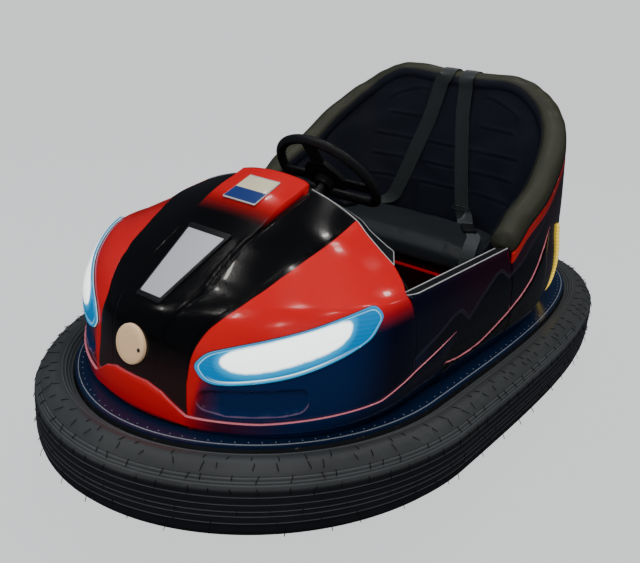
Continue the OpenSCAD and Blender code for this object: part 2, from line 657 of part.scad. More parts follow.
// Round cap on the nose
cap_r = 49;
cap_t = 8;
cap_station = 2.61;
cap_lean = 10;
cap_gap = 1.7;    // between the cap's back and the hood under its middle, before the hood rises
module nose_cap() {
    off = (cap_gap + hood_rise) * [0, -cos(cap_lean), sin(cap_lean)];
    color("wheat") translate(hood_at(cap_station, 0) + off) rotate([90 - cap_lean, 0, 0]) cylinder(r = cap_r, h = cap_t);
}

// Plates on the hood: trapezoids that lie on its slope
module sloped_plate(front, rear, front_half, rear_half, thick) {
    d = rear - front;
    slope = atan2(d.z, d.y);
    long = norm(d);
    translate(front) rotate([slope, 0, 0]) linear_extrude(thick)
        polygon([[-front_half, 0], [front_half, 0], [rear_half, long], [-rear_half, long]]);
}
badge_gap = 1;    // between the badge plate and the raised hood
module badge_plate() {
    off = (hood_rise + badge_gap) * hood_up;
    color("silver") sloped_plate(hood_at(4.9, 0) + off, hood_at(9.36, 0) + off, 34, 56, 5);
}
module number_plate() {
    off = (hood_rise + binnacle_t + 2.5) * hood_up;
    color("navy") sloped_plate(hood_at(10.62, 0) + off, hood_at(11.4, 0) + off, 48, 50, 3);
}

// A patch on the fender between two heights that follow a table, from one offset to another
module fender_patch(table, low, high, steps) {
    us = [for (i = [0:steps]) mix(table[0][0], table[len(table) - 1][0], i / steps)];
    grid = [for (u = us) let(a = lookup(u, column(table, 0, 1)), b = lookup(u, column(table, 0, 2)))
        [for (f = [0:0.25:1]) fender_point(mix(a, b, f), u)]];
    sheet([for (line = grid) [for (p = line) sunk(p, -high)]],
        [for (line = grid) [for (p = line) sunk(p, -low)]]);
}
module lamp_bezels() {
    color("deepskyblue") both_sides() fender_patch(LAMP, 2.4, 5, 16);
}
module lamp_lenses() {
    inset = [for (r = LAMP) if (r[0] > 0.26 && r[0] < 0.96)
        [r[0], r[1] + 8, r[2] - 8]];
    color("white") both_sides() fender_patch(inset, 5.8, 9, 14);
}
// Trays behind the intakes' openings
intake_lap = 5;
module intakes() {
    tray = [for (r = INTAKE) [r[0], r[1] - intake_lap, r[2] + intake_lap]];
    color([0.05, 0.05, 0.06]) both_sides() fender_patch(tray, -shell_t - 4.2, -shell_t - 1.2, 10);
}

module tail_lights() {
    function at(f, side, depth) = let(z = mix(strip_z[0], strip_z[1], f)) rear_point(strip_turn(z) + side, z, depth);
    color("gold") both_sides() sheet(
        [for (f = [0:0.1:1]) [at(f, -1, -6), at(f, 0, -6), at(f, 1, -6)]],
        [for (f = [0:0.1:1]) [at(f, -1, -1.5), at(f, 0, -1.5), at(f, 1, -1.5)]]);
}

// Bright strips along both edges of the sill's top, joined by a bow in front
module sill_trims() {
    strip = 4;
    strip_t = 3;
    margin = 2;
    long = rear_y - front_y - 12;
    bow = norm([sill_width, sill_drop]) / 2 - margin;
    function bow_line(r) = concat([[-r, long]], [for (a = [180:15:360]) r * round_to(a)], [[r, long]]);
    color("silver") both_sides() translate([sill_edge[0], front_y + 8 + bow, sill_edge[1]])
        rotate([0, -atan2(sill_drop, sill_width), 0]) translate([-bow - margin, 0, 2 * fit]) linear_extrude(strip_t)
            difference() {
                polygon([for (p = bow_line(bow)) [p.x, min(p.y, long - bow)]]);
                polygon([for (p = bow_line(bow - strip)) [p.x, min(p.y, long - bow + 1)]]);
            }
}

module pedal() {
    color("gray") translate([-275, -500, pan_z + pan_t + fit]) {
        cube([70, 30, 8]);
        translate([0, 10, 4]) rotate([60, 0, 0]) cube([70, 90, 6]);
    }
}

// Steering: everything on the column's axis, +Z towards the driver
module on_column() {
    translate(wheel_centre) rotate([-wheel_lean, 0, 0]) children();
}
column_top = -60;
column_low = -330;
module column_tube() {
    color("dimgray") on_column() difference() {
        translate([0, 0, column_low]) cylinder(r = column_r, h = column_top - column_low);
        translate([0, 0, column_low - 1]) cylinder(r = shaft_r + run, h = column_top - column_low + 2);
    }
}
module steering_shaft() {
    color("silver") on_column() {
        translate([0, 0, -400]) cylinder(r = shaft_r, h = 400 - 30 - fit);
        translate([0, 0, column_top + fit]) cylinder(r = column_r - 2, h = 6);
        translate([0, 0, column_low - fit - 6]) cylinder(r = column_r - 2, h = 6);
    }
}
// Line of the rim's tube: round above, flat below, with rounded corners
rim_corner_r = 34;
rim_corner = [sqrt(pow(wheel_r - rim_corner_r, 2) - pow(wheel_flat - rim_corner_r, 2)), wheel_flat - rim_corner_r];
corner_angle = atan2(rim_corner.y, rim_corner.x);
function round_to(a) = [cos(a), sin(a)];
rim_half_line = concat(
    [for (i = [0:14]) wheel_r * round_to(mix(-90, corner_angle, i / 14))],
    [for (i = [1:5]) rim_corner + rim_corner_r * round_to(mix(corner_angle, 90, i / 5))],
    [[0, wheel_flat]]);
rim_line = concat(rim_half_line, [for (i = [len(rim_half_line) - 2:-1:1]) [-rim_half_line[i].x, rim_half_line[i].y]]);
hub_r = 30;
hub_low = -30;
// Half of the centre pad's outline, lower edge to upper
WHEEL_PAD = [[50, 24], [62, 18], [66, 2], [64, -18], [52, -44], [34, -64], [24, -72]];
spoke_half = 17;
top_spoke_half = 22;
module steering_wheel() {
    n = len(rim_line);
    function section(i) = let(
        d = unit(rim_line[(i + 1) % n] - rim_line[(i + n - 1) % n]))
        [for (a = [0:36:324]) [rim_line[i].x + wheel_tube_r * cos(a) * d.y,
            rim_line[i].y - wheel_tube_r * cos(a) * d.x, wheel_tube_r * sin(a)]];
    color([0.06, 0.06, 0.07]) on_column() {
        tube([for (i = [0:n - 1]) section(i)], looped = true);
        translate([0, 0, hub_low]) cylinder(r = hub_r, h = -hub_low - 8);
        translate([0, 0, -14]) linear_extrude(14) polygon(concat(
            WHEEL_PAD, [for (i = [len(WHEEL_PAD) - 1:-1:0]) [-WHEEL_PAD[i].x, WHEEL_PAD[i].y]]));
        translate([-wheel_r + 4, -spoke_half, -9]) cube([2 * wheel_r - 8, 2 * spoke_half, 9]);
        translate([-top_spoke_half, -wheel_r + 4, -9]) cube([2 * top_spoke_half, wheel_r - 60, 9]);
    }
}

// Drive unit: swivels about an upright axis in a ring on the floor pan
ring_top = 170;
crown_t = 10;
module swivel_ring() {
    low = pan_z + pan_t + fit;
    color("slategray") translate([0, drive_y, low]) difference() {
        cylinder(r = 150, h = ring_top - low);
        translate([0, 0, -1]) cylinder(r = 124, h = 30);
    }
}
fork_gap = drive_w / 2 + side_gap + 5;
module drive_fork() {
    cheek_t = 8;
    color("darkslategray") translate([0, drive_y, 0]) {
        translate([0, 0, ring_top + fit]) cylinder(r = 148, h = crown_t);
        translate([0, 0, ring_top - 10]) difference() {
            cylinder(r = 124 - run, h = 12);
            translate([0, 0, -1]) cylinder(r = 112, h = 20);
        }
        both_sides() translate([fork_gap, -35, drive_r - 25]) cube([cheek_t, 70, ring_top + fit - drive_r + 26]);
        rotate([0, 90, 0]) translate([-drive_r, 0, 0])
            cylinder(r = axle_r, h = 2 * (fork_gap + cheek_t + 4), center = true);
    }
}
motor_z = ring_top + fit + crown_t + fit;
module drive_motor() {
    color("dimgray") translate([0, drive_y, motor_z]) {
        cylinder(r = 78, h = 100);
        cylinder(r = 60, h = 112);
        cylinder(r = 14, h = 220);
        translate([0, 0, 220]) sphere(r = 15);
    }
}
// Half of a wheel's section as radius and place along the axle: hub, web and rounded tread
web_in = 8;       // how far the web lies inside the wheel's face
tread_round = 7;
function wheel_section(r, w, hub, hub_half) = let(
    bore = axle_r + run,
    side = [[bore, hub_half], [hub, hub_half], [hub + 1, w / 2 - web_in], [r - 25, w / 2 - web_in], [r - 23, w / 2],
        [r - tread_round, w / 2], [r - 2, w / 2 - 2], [r, w / 2 - tread_round]])
    concat(side, [for (p = reversed(side)) [p.x, -p.y]]);
module drive_wheel() {
    color([0.1, 0.1, 0.1]) translate([0, drive_y, drive_r]) rotate([0, 90, 0])
        rotate_extrude($fn = 40) polygon(wheel_section(drive_r, drive_w, 24, fork_gap - 0.5));
}
module drive_cover() {
    in_r = 160;
    wall_t = 4;
    low = pan_z + pan_t + fit;
    color("black") translate([0, drive_y, low]) difference() {
        cylinder(r = in_r + wall_t, h = 160);
        translate([0, 0, -1]) cylinder(r = in_r, h = 161 - wall_t);
        cylinder(r = 30, h = 200);
    }
}

module rear_axle() {
    color("slategray") translate([0, axle_y, rear_r]) {
        rotate([0, 90, 0]) cylinder(r = axle_r, h = 2 * (rear_x + rear_w / 2 + 8), center = true);
        both_sides() {
            rotate([0, 90, 0]) translate([0, 0, rear_x + rear_w / 2 + 1]) cylinder(r = 18, h = 6);
            rotate([0, 90, 0]) translate([0, 0, rear_x - rear_w / 2 - 7]) cylinder(r = 18, h = 6);
            translate([rail_x - 5, -20, -16]) cube([10, 40, pan_z - fit - rail_size[1] - fit - rear_r + 16]);
        }
    }
}
module rear_wheel(side) {
    color([0.1, 0.1, 0.1]) translate([side * rear_x, axle_y, rear_r]) rotate([0, 90, 0])
        rotate_extrude($fn = 40) polygon(wheel_section(rear_r, rear_w, 22, rear_w / 2));
}
module rear_wheel_left() {
    rear_wheel(1);
}
module rear_wheel_right() {
    rear_wheel(-1);
}

battery_size = [340, 180, 200];
module battery() {
    color("gray") translate([-battery_size.x / 2, seat_front_y + 60, pan_z + pan_t + fit]) cube(battery_size);
}

bumper_tyre();
bumper_band();
apron();
chassis_frame();
floor_pan();
cockpit_liner();
hood_panel();
fender_left();
fender_right();
nose_lip();
binnacle();
side_left();
side_right();
rear_body();
dash_panel();
dash_lip();
rim_pad();
seat_box();
seat_cushion();
seat_back();
belt_left();
belt_right();
nose_cap();
badge_plate();
number_plate();
lamp_bezels();
lamp_lenses();
intakes();
tail_lights();
sill_trims();
pedal();
column_tube();
steering_wheel();
steering_shaft();
swivel_ring();
drive_fork();
drive_motor();
drive_wheel();
drive_cover();
rear_axle();
rear_wheel_left();
rear_wheel_right();
battery();
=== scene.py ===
import random
from math import sin, cos, pi, radians
import bpy
import bmesh
import numpy as np
from mathutils import Vector, Matrix


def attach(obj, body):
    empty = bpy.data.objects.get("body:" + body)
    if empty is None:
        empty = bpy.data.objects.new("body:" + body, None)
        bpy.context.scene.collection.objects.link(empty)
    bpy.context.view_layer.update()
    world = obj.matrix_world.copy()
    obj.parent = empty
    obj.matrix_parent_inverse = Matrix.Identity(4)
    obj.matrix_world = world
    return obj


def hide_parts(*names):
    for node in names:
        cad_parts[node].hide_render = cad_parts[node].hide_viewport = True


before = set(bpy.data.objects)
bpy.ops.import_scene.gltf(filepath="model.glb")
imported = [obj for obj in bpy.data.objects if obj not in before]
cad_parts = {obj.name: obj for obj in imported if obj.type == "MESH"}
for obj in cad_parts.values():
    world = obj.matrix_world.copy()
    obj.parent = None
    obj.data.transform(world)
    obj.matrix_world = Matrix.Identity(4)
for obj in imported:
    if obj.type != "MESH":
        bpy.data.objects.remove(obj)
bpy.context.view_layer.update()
print("frame loaded")

# camera fitted to a 640 x 563 picture
view = {"place": (1.2451, -1.8265, 1.2213), "yaw": 36.769, "pitch": 21.618, "roll": 3.836,
        "focal": 803.88, "width": 640}


def addCamera(v):
    yaw, pitch, roll = (radians(v[key]) for key in ("yaw", "pitch", "roll"))
    ahead = Vector((-sin(yaw) * cos(pitch), cos(yaw) * cos(pitch), -sin(pitch)))
    right = Vector((cos(yaw), sin(yaw), 0))
    up = right.cross(ahead)
    sideways = right * cos(roll) + up * sin(roll)
    upward = up * cos(roll) - right * sin(roll)
    data = bpy.data.cameras.new("photoView")
    data.sensor_width = 36
    data.lens = v["focal"] / v["width"] * 36
    data.clip_end = 60
    camera = bpy.data.objects.new("photoView", data)
    bpy.context.collection.objects.link(camera)
    turn = Matrix((sideways, upward, -ahead)).transposed()
    camera.matrix_world = Matrix.Translation(v["place"]) @ turn.to_4x4()
    bpy.context.scene.camera = camera


addCamera(view)


# materials

class Signal:                                    # a shader socket that takes part in plain maths
    def __init__(self, finish, socket):
        self.finish, self.socket = finish, socket

    def maths(self, operation, a, b=0.0):
        return self.finish.node("Math", {"operation": operation}, {0: a, 1: b})

    def __add__(self, other): return self.maths("ADD", self, other)
    def __radd__(self, other): return self.maths("ADD", other, self)
    def __sub__(self, other): return self.maths("SUBTRACT", self, other)
    def __rsub__(self, other): return self.maths("SUBTRACT", other, self)
    def __mul__(self, other): return self.maths("MULTIPLY", self, other)
    def __rmul__(self, other): return self.maths("MULTIPLY", other, self)
    def __truediv__(self, other): return self.maths("DIVIDE", self, other)
    def __neg__(self): return self.maths("MULTIPLY", self, -1.0)
    def __abs__(self): return self.maths("ABSOLUTE", self)


class Finish:                                    # one material and the nodes that make it
    def __init__(self, name, **constants):
        self.material = bpy.data.materials.new(name)
        self.material.use_nodes = True
        self.tree = self.material.node_tree
        self.shader = self.tree.nodes["Principled BSDF"]
        for key, value in constants.items():
            self.shader.inputs[key.replace("_", " ")].default_value = value
        self.place = self.node("TexCoord", {}, {}, "Object")

    def feed(self, socket, value):
        if isinstance(value, Signal):
            self.tree.links.new(value.socket, socket)
        elif isinstance(value, (tuple, list)) and len(value) == 3 and socket.type == "RGBA":
            socket.default_value = (*value, 1)
        else:
            socket.default_value = value

    def node(self, kind, settings, values, output=0):
        made = self.tree.nodes.new("ShaderNode" + kind)
        for key, value in settings.items():
            if key == "stops":
                while len(made.color_ramp.elements) < len(value):
                    made.color_ramp.elements.new(0.5)
                for element, (spot, colour) in zip(made.color_ramp.elements, value):
                    element.position, element.color = spot, (*colour, 1)
            else:
                setattr(made, key, value)
        for key, value in values.items():
            self.feed(made.inputs[key], value)
        return Signal(self, made.outputs[output])

    def set(self, name, value):
        self.feed(self.shader.inputs[name], value)
        return self

    def part(self, axis):                        # one coordinate of the place in the object
        return self.node("SeparateXYZ", {}, {0: self.place}, axis)

    def mark(self, name):                        # a value stored on the mesh
        return self.node("Attribute", {"attribute_type": "GEOMETRY", "attribute_name": name}, {}, "Fac")

    def step(self, value, low, high):            # smooth 0 to 1 between two values
        return self.node("MapRange", {"interpolation_type": "SMOOTHSTEP"},
                         {"Value": value, "From Min": low, "From Max": high})

    def band(self, value, half, soft):           # 1 within half of zero
        return 1 - self.step(abs(value), half, half + soft)

    def wave(self, value, length):               # a sine of the given wavelength
        return self.node("Math", {"operation": "SINE"}, {0: value * 2 * pi / length})

    def noise(self, scale, detail=3.0, rough=0.5, stretch=None):
        at = self.place
        if stretch:
            at = self.node("Mapping", {}, {"Vector": self.place, "Scale": stretch})
        return self.node("TexNoise", {}, {"Vector": at, "Scale": scale, "Detail": detail,
                                          "Roughness": rough}, "Fac")

    def cells(self, scale, feature="F1", output="Distance"):
        return self.node("TexVoronoi", {"feature": feature}, {"Vector": self.place, "Scale": scale}, output)

    def mix(self, factor, a, b):
        return self.node("Mix", {"data_type": "RGBA"}, {0: factor, 6: a, 7: b}, 2)

    def bump(self, height, depth, strength=1.0, below=None):
        values = {"Height": height, "Distance": depth, "Strength": strength}
        if below:
            values["Normal"] = below
        return self.node("Bump", {}, values, "Normal")


def toned(colour, share):
    return tuple(c * share for c in colour)


def moulded(name, base, rough=0.42, grain=420, depth=0.00012, specks=0.06, **constants):
    f = Finish(name, **constants)                # plain moulded plastic
    cloud = f.noise(9, 4)
    fine = f.noise(grain, 2)
    lighter = tuple(min(1, c * (1 + specks * 4) + 0.002) for c in base)
    f.set("Base Color", f.mix(cloud * 0.6, base, lighter))
    f.set("Roughness", rough - 0.08 + cloud * 0.16)
    f.set("Normal", f.bump(fine, depth))
    return f.material


def metal(name, base, rough=0.32, brush=(4, 4, 260), depth=0.00004, **constants):
    f = Finish(name, Metallic=1.0, **constants)
    streak = f.noise(30, 3, 0.6, brush)
    cloud = f.noise(7, 4)
    f.set("Base Color", f.mix(cloud, base, toned(base, 0.72)))
    f.set("Roughness", rough - 0.06 + streak * 0.18)
    f.set("Normal", f.bump(streak, depth))
    return f.material


def coated(name, base, paler, rough=0.5):         # painted steel under the car
    f = Finish(name, IOR=1.45)
    chips = f.step(f.noise(46, 8, 0.7), 0.60, 0.68)
    dirt = f.noise(11, 5)
    f.set("Base Color", f.mix(chips, f.mix(dirt, base, toned(base, 0.55)), paler))
    f.set("Roughness", rough + dirt * 0.2)
    f.set("Normal", f.bump(f.noise(160, 3) * 0.4 + chips * -0.5, 0.0003))
    return f.material


def vinyl(name, base, light, grain=330, rough=0.44, depth=0.0004):
    f = Finish(name, IOR=1.48)
    pores = f.cells(grain * 1.6)
    hills = f.cells(grain, "SMOOTH_F1")
    cloud = f.noise(6, 5)
    wear = f.step(f.noise(21, 6, 0.65), 0.52, 0.74)
    f.set("Base Color", f.mix(cloud * 0.45 + wear * 0.25, base, light))
    f.set("Roughness", rough + cloud * 0.14 - hills * 0.10)
    f.set("Normal", f.bump(hills * 0.8 + pores * 0.35, depth, 0.55))
    return f.material


# line is a pale pink used as a painted highlight along the skirt's top edge and the side crease
paint = {"red": (0.60, 0.008, 0.009), "deepRed": (0.24, 0.004, 0.007), "black": (0.0018, 0.0018, 0.0022),
         "navy": (0.0026, 0.016, 0.070), "night": (0.0022, 0.0026, 0.011), "line": (0.70, 0.20, 0.24)}


def gloss(name):                                 # gelcoat with a clear coat and orange peel
    f = Finish(name, IOR=1.42, Coat_Weight=0.30, Coat_Roughness=0.03, Coat_IOR=1.45)
    peel = f.noise(62, 2)
    haze = f.noise(5, 5)
    f.set("Roughness", 0.13 + haze * 0.12)
    f.set("Normal", f.bump(peel, 0.00003, 0.35))
    return f


def frontPaint():
    f = gloss("frontGelcoat")
    low, rear = f.mark("low"), f.mark("rear")     # shares of the dark lower and rear parts
    cloud = f.noise(7, 3)
    warm = f.mix(cloud * 0.35, paint["red"], (0.50, 0.006, 0.010))
    cold = f.mix(rear, paint["navy"], paint["night"])
    cold = f.mix(f.mark("nose"), cold, (0.085, 0.004, 0.016))
    seam = f.step(f.mark("seam"), -0.0012, 0.0012)   # past the painted seam the hood's black goes on
    brim = f.band(f.mark("brim") - 0.0016, 0.0005, 0.0014) * f.mark("under")  # painted highlight along the intake's lower edge
    body = f.mix(brim * 0.55, f.mix(low, warm, cold), (0.24, 0.14, 0.24))
    f.set("Base Color", f.mix(seam, body, paint["black"]))
    return f.material


def hoodPaint():
    f = gloss("hoodGelcoat")
    low = f.mix(f.step(f.part(2), 0.36, 0.47), (0.024, 0.009, 0.009), paint["black"])
    f.set("Base Color", f.mix(f.noise(8, 4) * 0.3, low, (0.0040, 0.0042, 0.0050)))
    return f.material


def humpPaint():
    f = gloss("humpGelcoat")
    fade = f.step(f.part(1) + f.part(2) * 0.4, -0.275, -0.175)
    red = f.mix(f.noise(9, 3) * 0.4, paint["red"], paint["deepRed"])
    f.set("Base Color", f.mix(fade, paint["black"], red))
    return f.material


def skirtPaint():
    f = gloss("skirtGelcoat")
    w, edge = f.mark("w"), f.mark("edge")
    chin = f.mix(f.noise(9, 3) * 0.3, paint["red"], (0.42, 0.006, 0.010))
    body = f.mix(f.step(w, 0.93, 1.14), chin, (0.050, 0.003, 0.014))
    body = f.mix(f.step(w, 1.08, 1.45), body, f.mix(f.step(w, 1.5, 2.0), paint["navy"], paint["night"]))
    # painted highlight: a thin pink line along the skirt's top edge, stronger towards the sides
    line = f.band(edge - 0.0017, 0.0007, 0.0010)
    f.set("Base Color", f.mix(line * (0.35 + 0.65 * f.step(w, 0.8, 1.05)), body, paint["line"]))
    return f.material


def sidePaint():
    f = gloss("sideGelcoat")
    z, y = f.part(2), f.part(1)
    crease, zigzag, drop = f.mark("crease"), f.mark("zigzag"), f.mark("rimDrop")
    high = f.mix(f.step(y, -0.40, 0.0), paint["night"], (0.013, 0.0022, 0.0075))
    low = f.mix(f.step(y, -0.45, -0.30), (0.0022, 0.007, 0.030), (0.0014, 0.0014, 0.0040))
    body = f.mix(f.step(zigzag, -0.004, 0.004), low, high)
    body = f.mix(f.step(-crease, -0.002, 0.004), body, (0.0014, 0.0010, 0.0016))
    # painted highlight: a thin pink line along the crease's raised edge
    glow = f.band(crease, 0.0011, 0.0009) * f.step(y, -0.262, -0.250)
    thin = f.band(abs(zigzag) - 0.0026, 0.0003, 0.0007)
    stripe = 1 - f.step(drop, 0.045, 0.047)
    lined = f.mix(thin * 0.7, body, (0.060, 0.062, 0.085))
    lined = f.mix(glow, lined, paint["line"])
    trim = f.mix(f.step(z, 0.50, 0.72), (0.55, 0.012, 0.008), (0.24, 0.006, 0.006))
    f.set("Base Color", f.mix(stripe, lined, trim))
    return f.material


def tyreRubber():
    f = Finish("tyreRubber", IOR=1.47)
    cloud, fine = f.noise(5, 6, 0.6), f.noise(240, 3)
    scuff = f.step(f.noise(16, 7, 0.7, (1, 1, 3)), 0.55, 0.75)
    # the wall, which faces up, is painted paler and the upright tread darker: painted light and shade on the
    # same rubber
    wall = f.mix(cloud * 0.6 + scuff * 0.35, (0.026, 0.028, 0.029), (0.070, 0.074, 0.076))
    tread = f.mix(cloud, (0.0055, 0.006, 0.008), (0.014, 0.014, 0.017))
    paler = f.mark("ridge")                       # painted highlight: ridges and the tread's edge are painted pale grey
    rubber = f.mix(f.step(f.part(2), 0.228, 0.240), tread, wall)
    f.set("Base Color", f.mix(paler, rubber, (0.16, 0.17, 0.18)))
    f.set("Roughness", 0.30 + cloud * 0.18 + scuff * 0.12 - paler * 0.06)
    f.set("Normal", f.bump(fine + scuff * 0.4, 0.00022, 0.7))
    return f.material


def webbing():
    f = Finish("beltWebbing", IOR=1.4, Sheen_Weight=0.25, Sheen_Roughness=0.5)
    across, along = f.mark("across"), f.mark("along")
    ribs = f.wave(across, 0.0052)
    weave = f.wave(along, 0.0021)
    cloud = f.noise(30, 4)
    f.set("Base Color", f.mix(cloud * 0.5 + ribs * 0.12 + 0.1, (0.006, 0.0085, 0.009), (0.018, 0.023, 0.024)))
    f.set("Roughness", 0.62 + cloud * 0.15)
    f.set("Normal", f.bump(ribs * 0.5 + weave * ribs * 0.5, 0.00035, 0.7))
    return f.material


def lampGlow():
    f = Finish("lampGlow", IOR=1.45, Coat_Weight=0.6, Coat_Roughness=0.05, Roughness=0.2,
               Emission_Strength=1.15)
    inside, rho = f.mark("core"), f.mark("rho")  # metres inside the white-hot shape
    ridges = f.wave(f.part(2), 0.0085)
    cloud = f.noise(60, 4, 0.6)
    core = f.step(inside + (cloud - 0.5) * 0.004, -0.0045, 0.0035)
    halo = f.step(inside, -0.022, 0.002)
    glass = f.mix(halo, (0.0, 0.12, 0.32), (0.01, 0.38, 0.72))
    low = f.mark("lower") * f.band(rho - 0.875, 0.018, 0.035)  # second white band
    glass = f.mix(low * 0.9, glass, (1.1, 1.5, 1.6))
    colour = f.mix(core, glass, (1.75, 1.82, 1.80))
    f.set("Base Color", f.mix(core, (0.0, 0.10, 0.22), (0.6, 0.7, 0.7)))
    f.set("Emission Color", f.mix(f.band(rho - 0.955, 0.012, 0.02) * 0.7, colour, (0.35, 0.80, 0.95)))
    f.set("Normal", f.bump(ridges * (1 - core) + cloud * 0.4, 0.0005, 0.5))
    return f.material


def bezelGlow():
    f = Finish("bezelGlow", IOR=1.45, Coat_Weight=0.7, Coat_Roughness=0.05, Roughness=0.15,
               Emission_Strength=0.95)
    cloud, rim = f.noise(26, 3), f.mark("rim")
    f.set("Base Color", f.mix(cloud, (0.0, 0.08, 0.18), (0.01, 0.14, 0.28)))
    blue = f.mix(cloud, (0.0, 0.17, 0.40), (0.015, 0.30, 0.58))
    f.set("Emission Color", f.mix(f.band(rim - 0.80, 0.06, 0.08), blue, (0.55, 0.92, 1.0)))
    f.set("Normal", f.bump(cloud, 0.0004, 0.5))
    return f.material


def tailGlow():
    f = Finish("tailGlow", IOR=1.45, Roughness=0.2, Coat_Weight=0.5, Emission_Strength=0.95)
    beads = f.wave(f.part(2), 0.012)
    f.set("Base Color", f.mix(beads * 0.5 + 0.5, (0.55, 0.30, 0.01), (0.70, 0.50, 0.04)))
    f.set("Emission Color", f.mix(beads * 0.5 + 0.5, (0.85, 0.52, 0.01), (1.0, 0.80, 0.12)))
    f.set("Normal", f.bump(beads, 0.0006, 0.6))
    return f.material


def platePaint(name, split, upper, lower):
    f = Finish(name, IOR=1.45, Coat_Weight=0.3)
    cloud = f.noise(90, 4)
    where = f.step(f.part(1), split - 0.0006, split + 0.0006)
    f.set("Base Color", f.mix(where, f.mix(cloud * 0.3, lower, toned(lower, 0.8)),
                              f.mix(cloud * 0.3, upper, toned(upper, 0.85))))
    f.set("Roughness", 0.28 + cloud * 0.14)
    f.set("Normal", f.bump(f.noise(300, 2), 0.00006))
    return f.material


def redInside():
    f = gloss("redInside")
    cloud = f.noise(12, 4)
    top = f.step(f.part(2), 0.3935, 0.3975) * (1 - f.step(f.part(1), 0.1315, 0.134))
    red = f.mix(cloud * 0.3, paint["red"], paint["deepRed"])
    f.set("Base Color", f.mix(top, (0.012, 0.0010, 0.0016), red))
    return f.material


skin = {
    "front": frontPaint(), "hood": hoodPaint(), "hump": humpPaint(), "skirt": skirtPaint(),
    "side": sidePaint(), "tyre": tyreRubber(), "web": webbing(), "lamp": lampGlow(),
    "bezel": bezelGlow(), "tail": tailGlow(), "redInside": redInside(),
    "badge": platePaint("badgePlate", -9.0, (0.45, 0.46, 0.49), (0.45, 0.46, 0.49)),
    "number": platePaint("numberPlate", -0.458, (0.66, 0.58, 0.40), (0.014, 0.034, 0.16)),
    "seat": vinyl("seatVinyl", (0.0055, 0.0065, 0.0115), (0.012, 0.014, 0.021)),
    "cushion": vinyl("cushionVinyl", (0.0115, 0.0135, 0.0160), (0.022, 0.025, 0.027)),
    # the roll's vinyl is painted olive-grey and much paler than the seat's: painted sheen from the lamps
    # above
    "roll": vinyl("rollVinylPaintedSheen", (0.025, 0.026, 0.017), (0.046, 0.047, 0.030), 300, 0.36),
    "piping": vinyl("pipingVinyl", (0.006, 0.006, 0.008), (0.015, 0.015, 0.018), 700),
    "cap": moulded("capPlastic", (0.86, 0.57, 0.32), 0.5, 300, 0.0002, 0.03),
    "blackPlastic": moulded("blackPlastic", (0.0075, 0.0075, 0.0085), 0.40),
    "satinBlack": moulded("satinBlack", (0.0075, 0.0078, 0.0095), 0.34, 260, 0.0002),
    # stud plastic is pale grey: a painted highlight along the tyre's bead
    "studs": moulded("studPaintedHighlight", (0.20, 0.22, 0.25), 0.25, 500),
    "liner": moulded("linerPlastic", (0.012, 0.008, 0.009), 0.55, 200, 0.0003),
    "apron": moulded("apronPlastic", (0.0034, 0.011, 0.036), 0.26, 120, 0.0003),
    "bright": moulded("brightTrim", (0.62, 0.62, 0.62), 0.24, 420, 0.00002, 0.02, Metallic=0.35,
                      Coat_Weight=0.5),
    "steel": metal("shaftSteel", (0.56, 0.57, 0.58), 0.30),
    "frameSteel": coated("frameSteel", (0.022, 0.024, 0.028), (0.16, 0.12, 0.09)),
    "motor": coated("motorPaint", (0.045, 0.047, 0.05), (0.20, 0.19, 0.18), 0.42),
    "battery": moulded("batteryCase", (0.085, 0.088, 0.092), 0.5, 160, 0.0003),
    "wheel": moulded("wheelRubber", (0.016, 0.016, 0.017), 0.62, 260, 0.0004),
    "hair": moulded("rubberHair", (0.006, 0.006, 0.007), 0.6, 900)}
print("materials made:", len(skin))


# mesh helpers

def link(bm, name, material, sharp=38.0, thick=0.0, stands=(), rides="car"):
    mesh = bpy.data.meshes.new(name)
    bm.to_mesh(mesh)
    bm.free()
    piece = bpy.data.objects.new(name, mesh)
    bpy.context.collection.objects.link(piece)
    mesh.materials.append(material)
    mesh.shade_smooth()
    if sharp:
        mesh.set_sharp_from_angle(angle=radians(sharp))
    if thick:
        wall = piece.modifiers.new("wall", "SOLIDIFY")
        wall.thickness, wall.offset, wall.use_even_offset = thick, -1, False
    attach(piece, rides)
    if stands:
        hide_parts(*stands)
    return piece


def faceOutward(bm, centre):
    bm.normal_update()
    total = sum((f.calc_center_median() - centre).dot(f.normal) * f.calc_area() for f in bm.faces)
    if total < 0:
        bmesh.ops.reverse_faces(bm, faces=bm.faces)


def patch(counts, shape, marks=None, merge=0.0, centre=(0, 0, 0.35)):
    bm = bmesh.new()                             # a grid laid over a surface given by a formula
    bmesh.ops.create_grid(bm, x_segments=counts[0], y_segments=counts[1], size=1)
    grid = np.array([v.co[:2] for v in bm.verts]) / 2 + 0.5
    spots = shape(grid[:, 0], grid[:, 1])
    for v, spot in zip(bm.verts, spots):
        v.co = spot
    for key, rule in (marks or {}).items():
        layer = bm.verts.layers.float.new(key)
        for v, value in zip(bm.verts, rule(grid[:, 0], grid[:, 1])):
            v[layer] = value
    if merge:
        bmesh.ops.remove_doubles(bm, verts=bm.verts, dist=merge)
    faceOutward(bm, Vector(centre))
    return bm


def wires(lines, radius, sides=2, closed=False):  # round beads along lists of points, turned into a mesh
    curve = bpy.data.curves.new("path", "CURVE")
    curve.dimensions, curve.bevel_depth, curve.bevel_resolution = "3D", radius, sides
    curve.use_fill_caps = True
    for line in lines:
        spline = curve.splines.new("POLY")
        spline.points.add(len(line) - 1)
        for point, spot in zip(spline.points, line):
            point.co = (*spot, 1)
        spline.use_cyclic_u = closed
    holder = bpy.data.objects.new("path", curve)
    bm = bmesh.new()
    bm.from_mesh(holder.to_mesh())
    holder.to_mesh_clear()
    bpy.data.objects.remove(holder)
    bpy.data.curves.remove(curve)
    return bm


